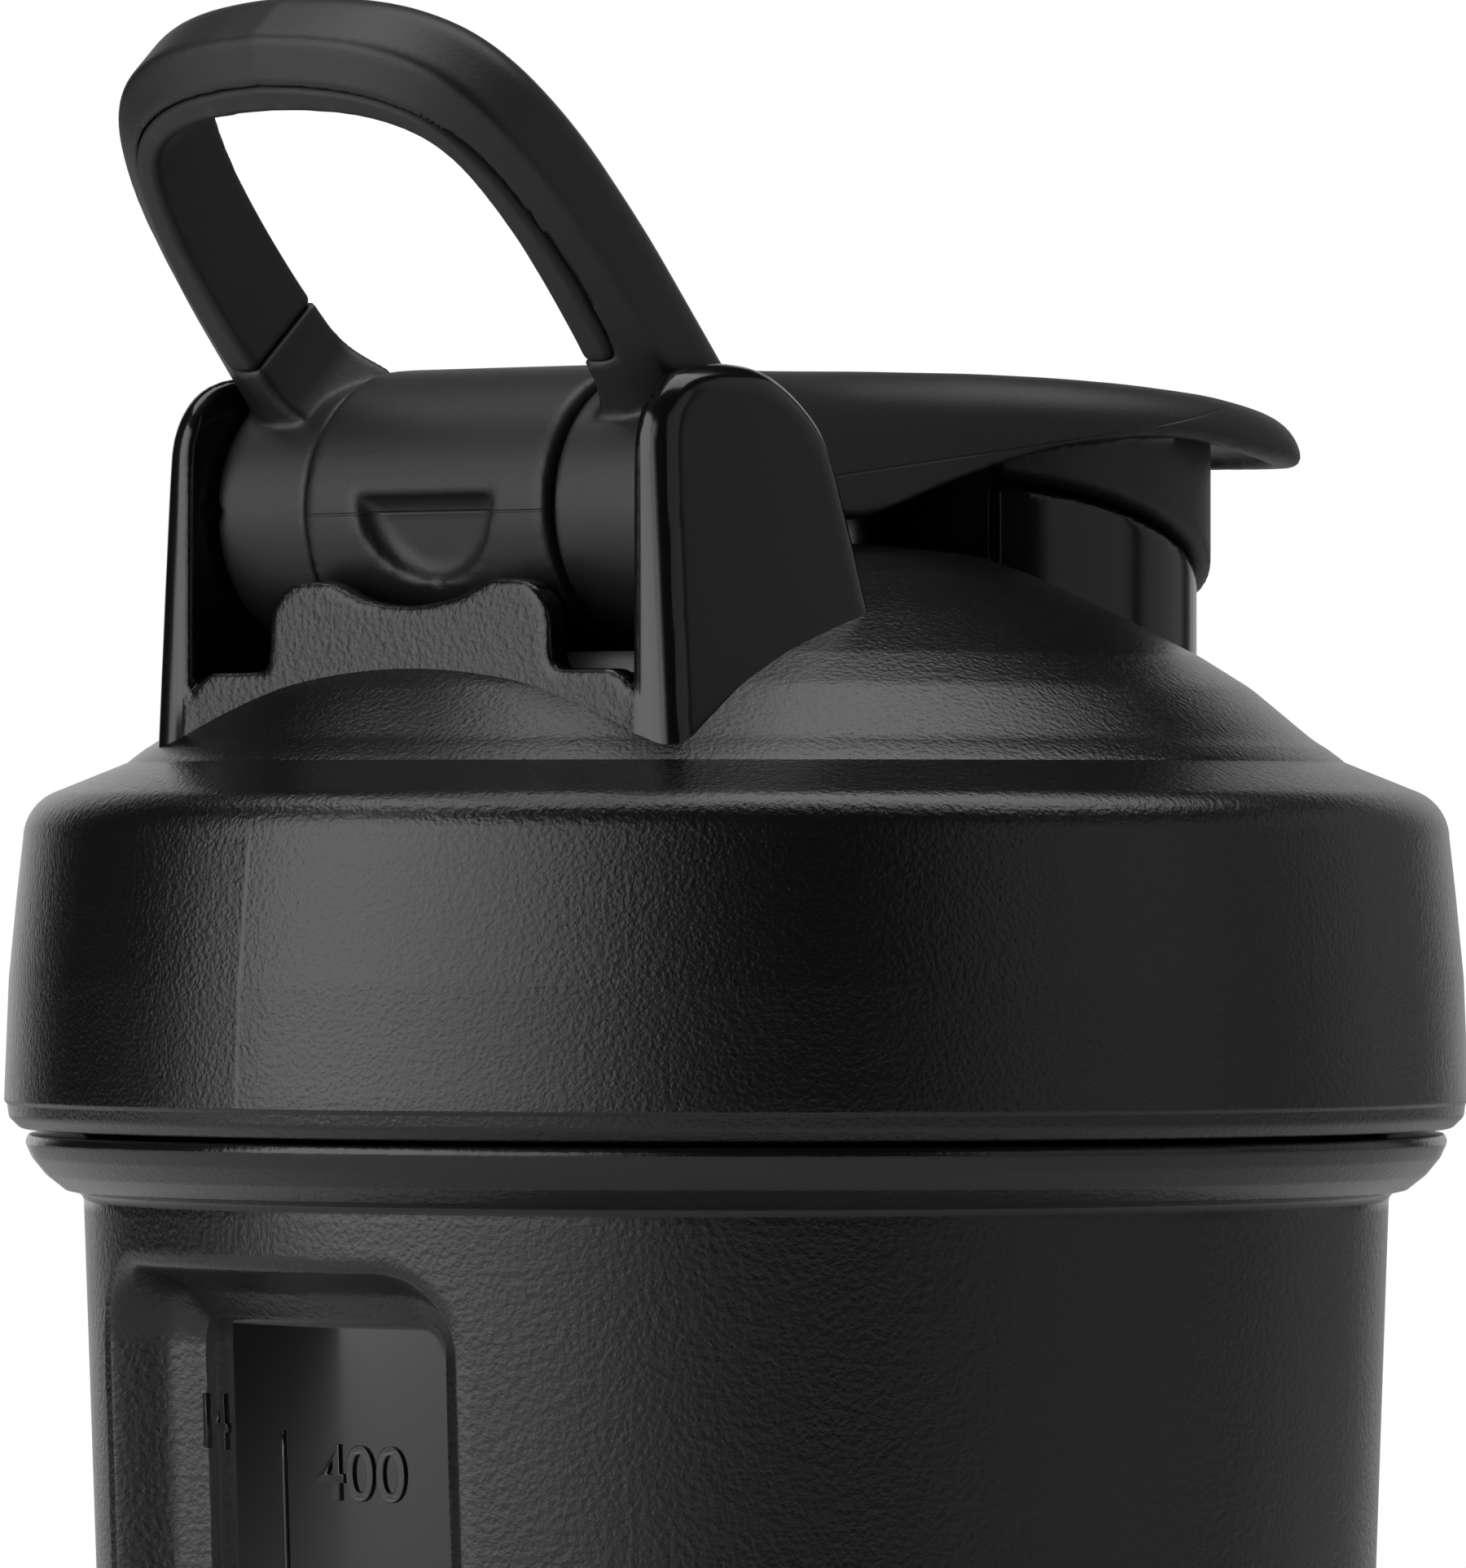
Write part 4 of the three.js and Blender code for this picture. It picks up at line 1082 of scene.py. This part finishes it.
# Studio: a pale floor, soft boxes and the camera
viewAngle = 41.0
studio = {
    "target": (0, 0, 0.14), "cameraDistance": 0.89, "cameraHeight": 0.1375, "focalLength": 324.6,
    "shift": (-0.0021, 0.0377),
    "boxes": [  # name, angle right of the camera, height angle, distance, width, height, brightness
        ("keySoft", -68.5, 6, 1.30, 0.88, 1.7, 3.1),
        ("keyEase", -38, 8, 1.35, 0.6, 1.3, 2.3),
        ("keyFade", -20, 10, 1.4, 0.26, 1.2, 0.7),
        ("fillRight", 62, 10, 1.5, 1.5, 1.3, 0.45),
        ("edgeRight", 116, 10, 1.5, 1.1, 1.3, 0.36),
        ("backLeft", -165, 6, 1.6, 0.8, 1.1, 0.8),
        ("backRight", 164, 8, 1.6, 0.9, 1.1, 0.6),
        ("topSoft", 180, 84, 1.0, 1.6, 0.68, 2.7),
    ],
    "floorGrey": 0.75, "roomGrey": 0.012,
}


def softBox(name, right, lift, distance, width, height, brightness):
    angle, up = math.radians(right - 90 + viewAngle), math.radians(lift)
    towards = Vector((math.cos(angle) * math.cos(up), math.sin(angle) * math.cos(up), math.sin(up)))
    light = bpy.data.lights.new(name, "AREA")
    light.shape, light.size, light.size_y = "RECTANGLE", width, height
    light.energy = brightness * width * height * math.pi
    made = added(name, light)
    made.location = Vector(studio["target"]) + towards * distance
    made.rotation_euler = towards.to_track_quat("Z", "Y").to_euler()
    made.visible_camera = False


for row in studio["boxes"]:
    softBox(*row)

world = bpy.data.worlds.new("studioRoom")
bpy.context.scene.world = world
world.use_nodes = True
nodes, link = world.node_tree.nodes, world.node_tree.links.new
paper = nodes.new("ShaderNodeBackground")
paper.inputs["Color"].default_value = (1, 1, 1, 1)
room = nodes["Background"]
room.inputs["Color"].default_value = (studio["roomGrey"],) * 3 + (1,)
choose = nodes.new("ShaderNodeMixShader")
link(nodes.new("ShaderNodeLightPath").outputs["Is Camera Ray"], choose.inputs[0])
link(room.outputs[0], choose.inputs[1])
link(paper.outputs[0], choose.inputs[2])
link(choose.outputs[0], nodes["World Output"].inputs[0])

floor = lathe("studio_floor", [(0, -0.4), (1500, -0.4), (1500, 0), (0, 0)], fullTurn)
floorPaint = bpy.data.materials.new("paleFloor")
floorPaint.use_nodes = True
floorInputs = floorPaint.node_tree.nodes["Principled BSDF"].inputs
floorInputs["Base Color"].default_value = (studio["floorGrey"],) * 3 + (1,)
floorInputs["Roughness"].default_value = 0.7
floor.data.materials.append(floorPaint)

lens = bpy.data.cameras.new("camera")
lens.lens, lens.sensor_width = studio["focalLength"], 36
lens.shift_x, lens.shift_y = studio["shift"]
lens.clip_start, lens.clip_end = 0.05, 20
camera = added("camera", lens)
around, away = math.radians(viewAngle), studio["cameraDistance"]
camera.location = (away * math.sin(around), -away * math.cos(around), studio["cameraHeight"])
camera.rotation_euler = (math.radians(90), 0, around)
bpy.context.scene.camera = camera
bpy.context.scene.view_settings.view_transform = "Standard"
print("studio made")
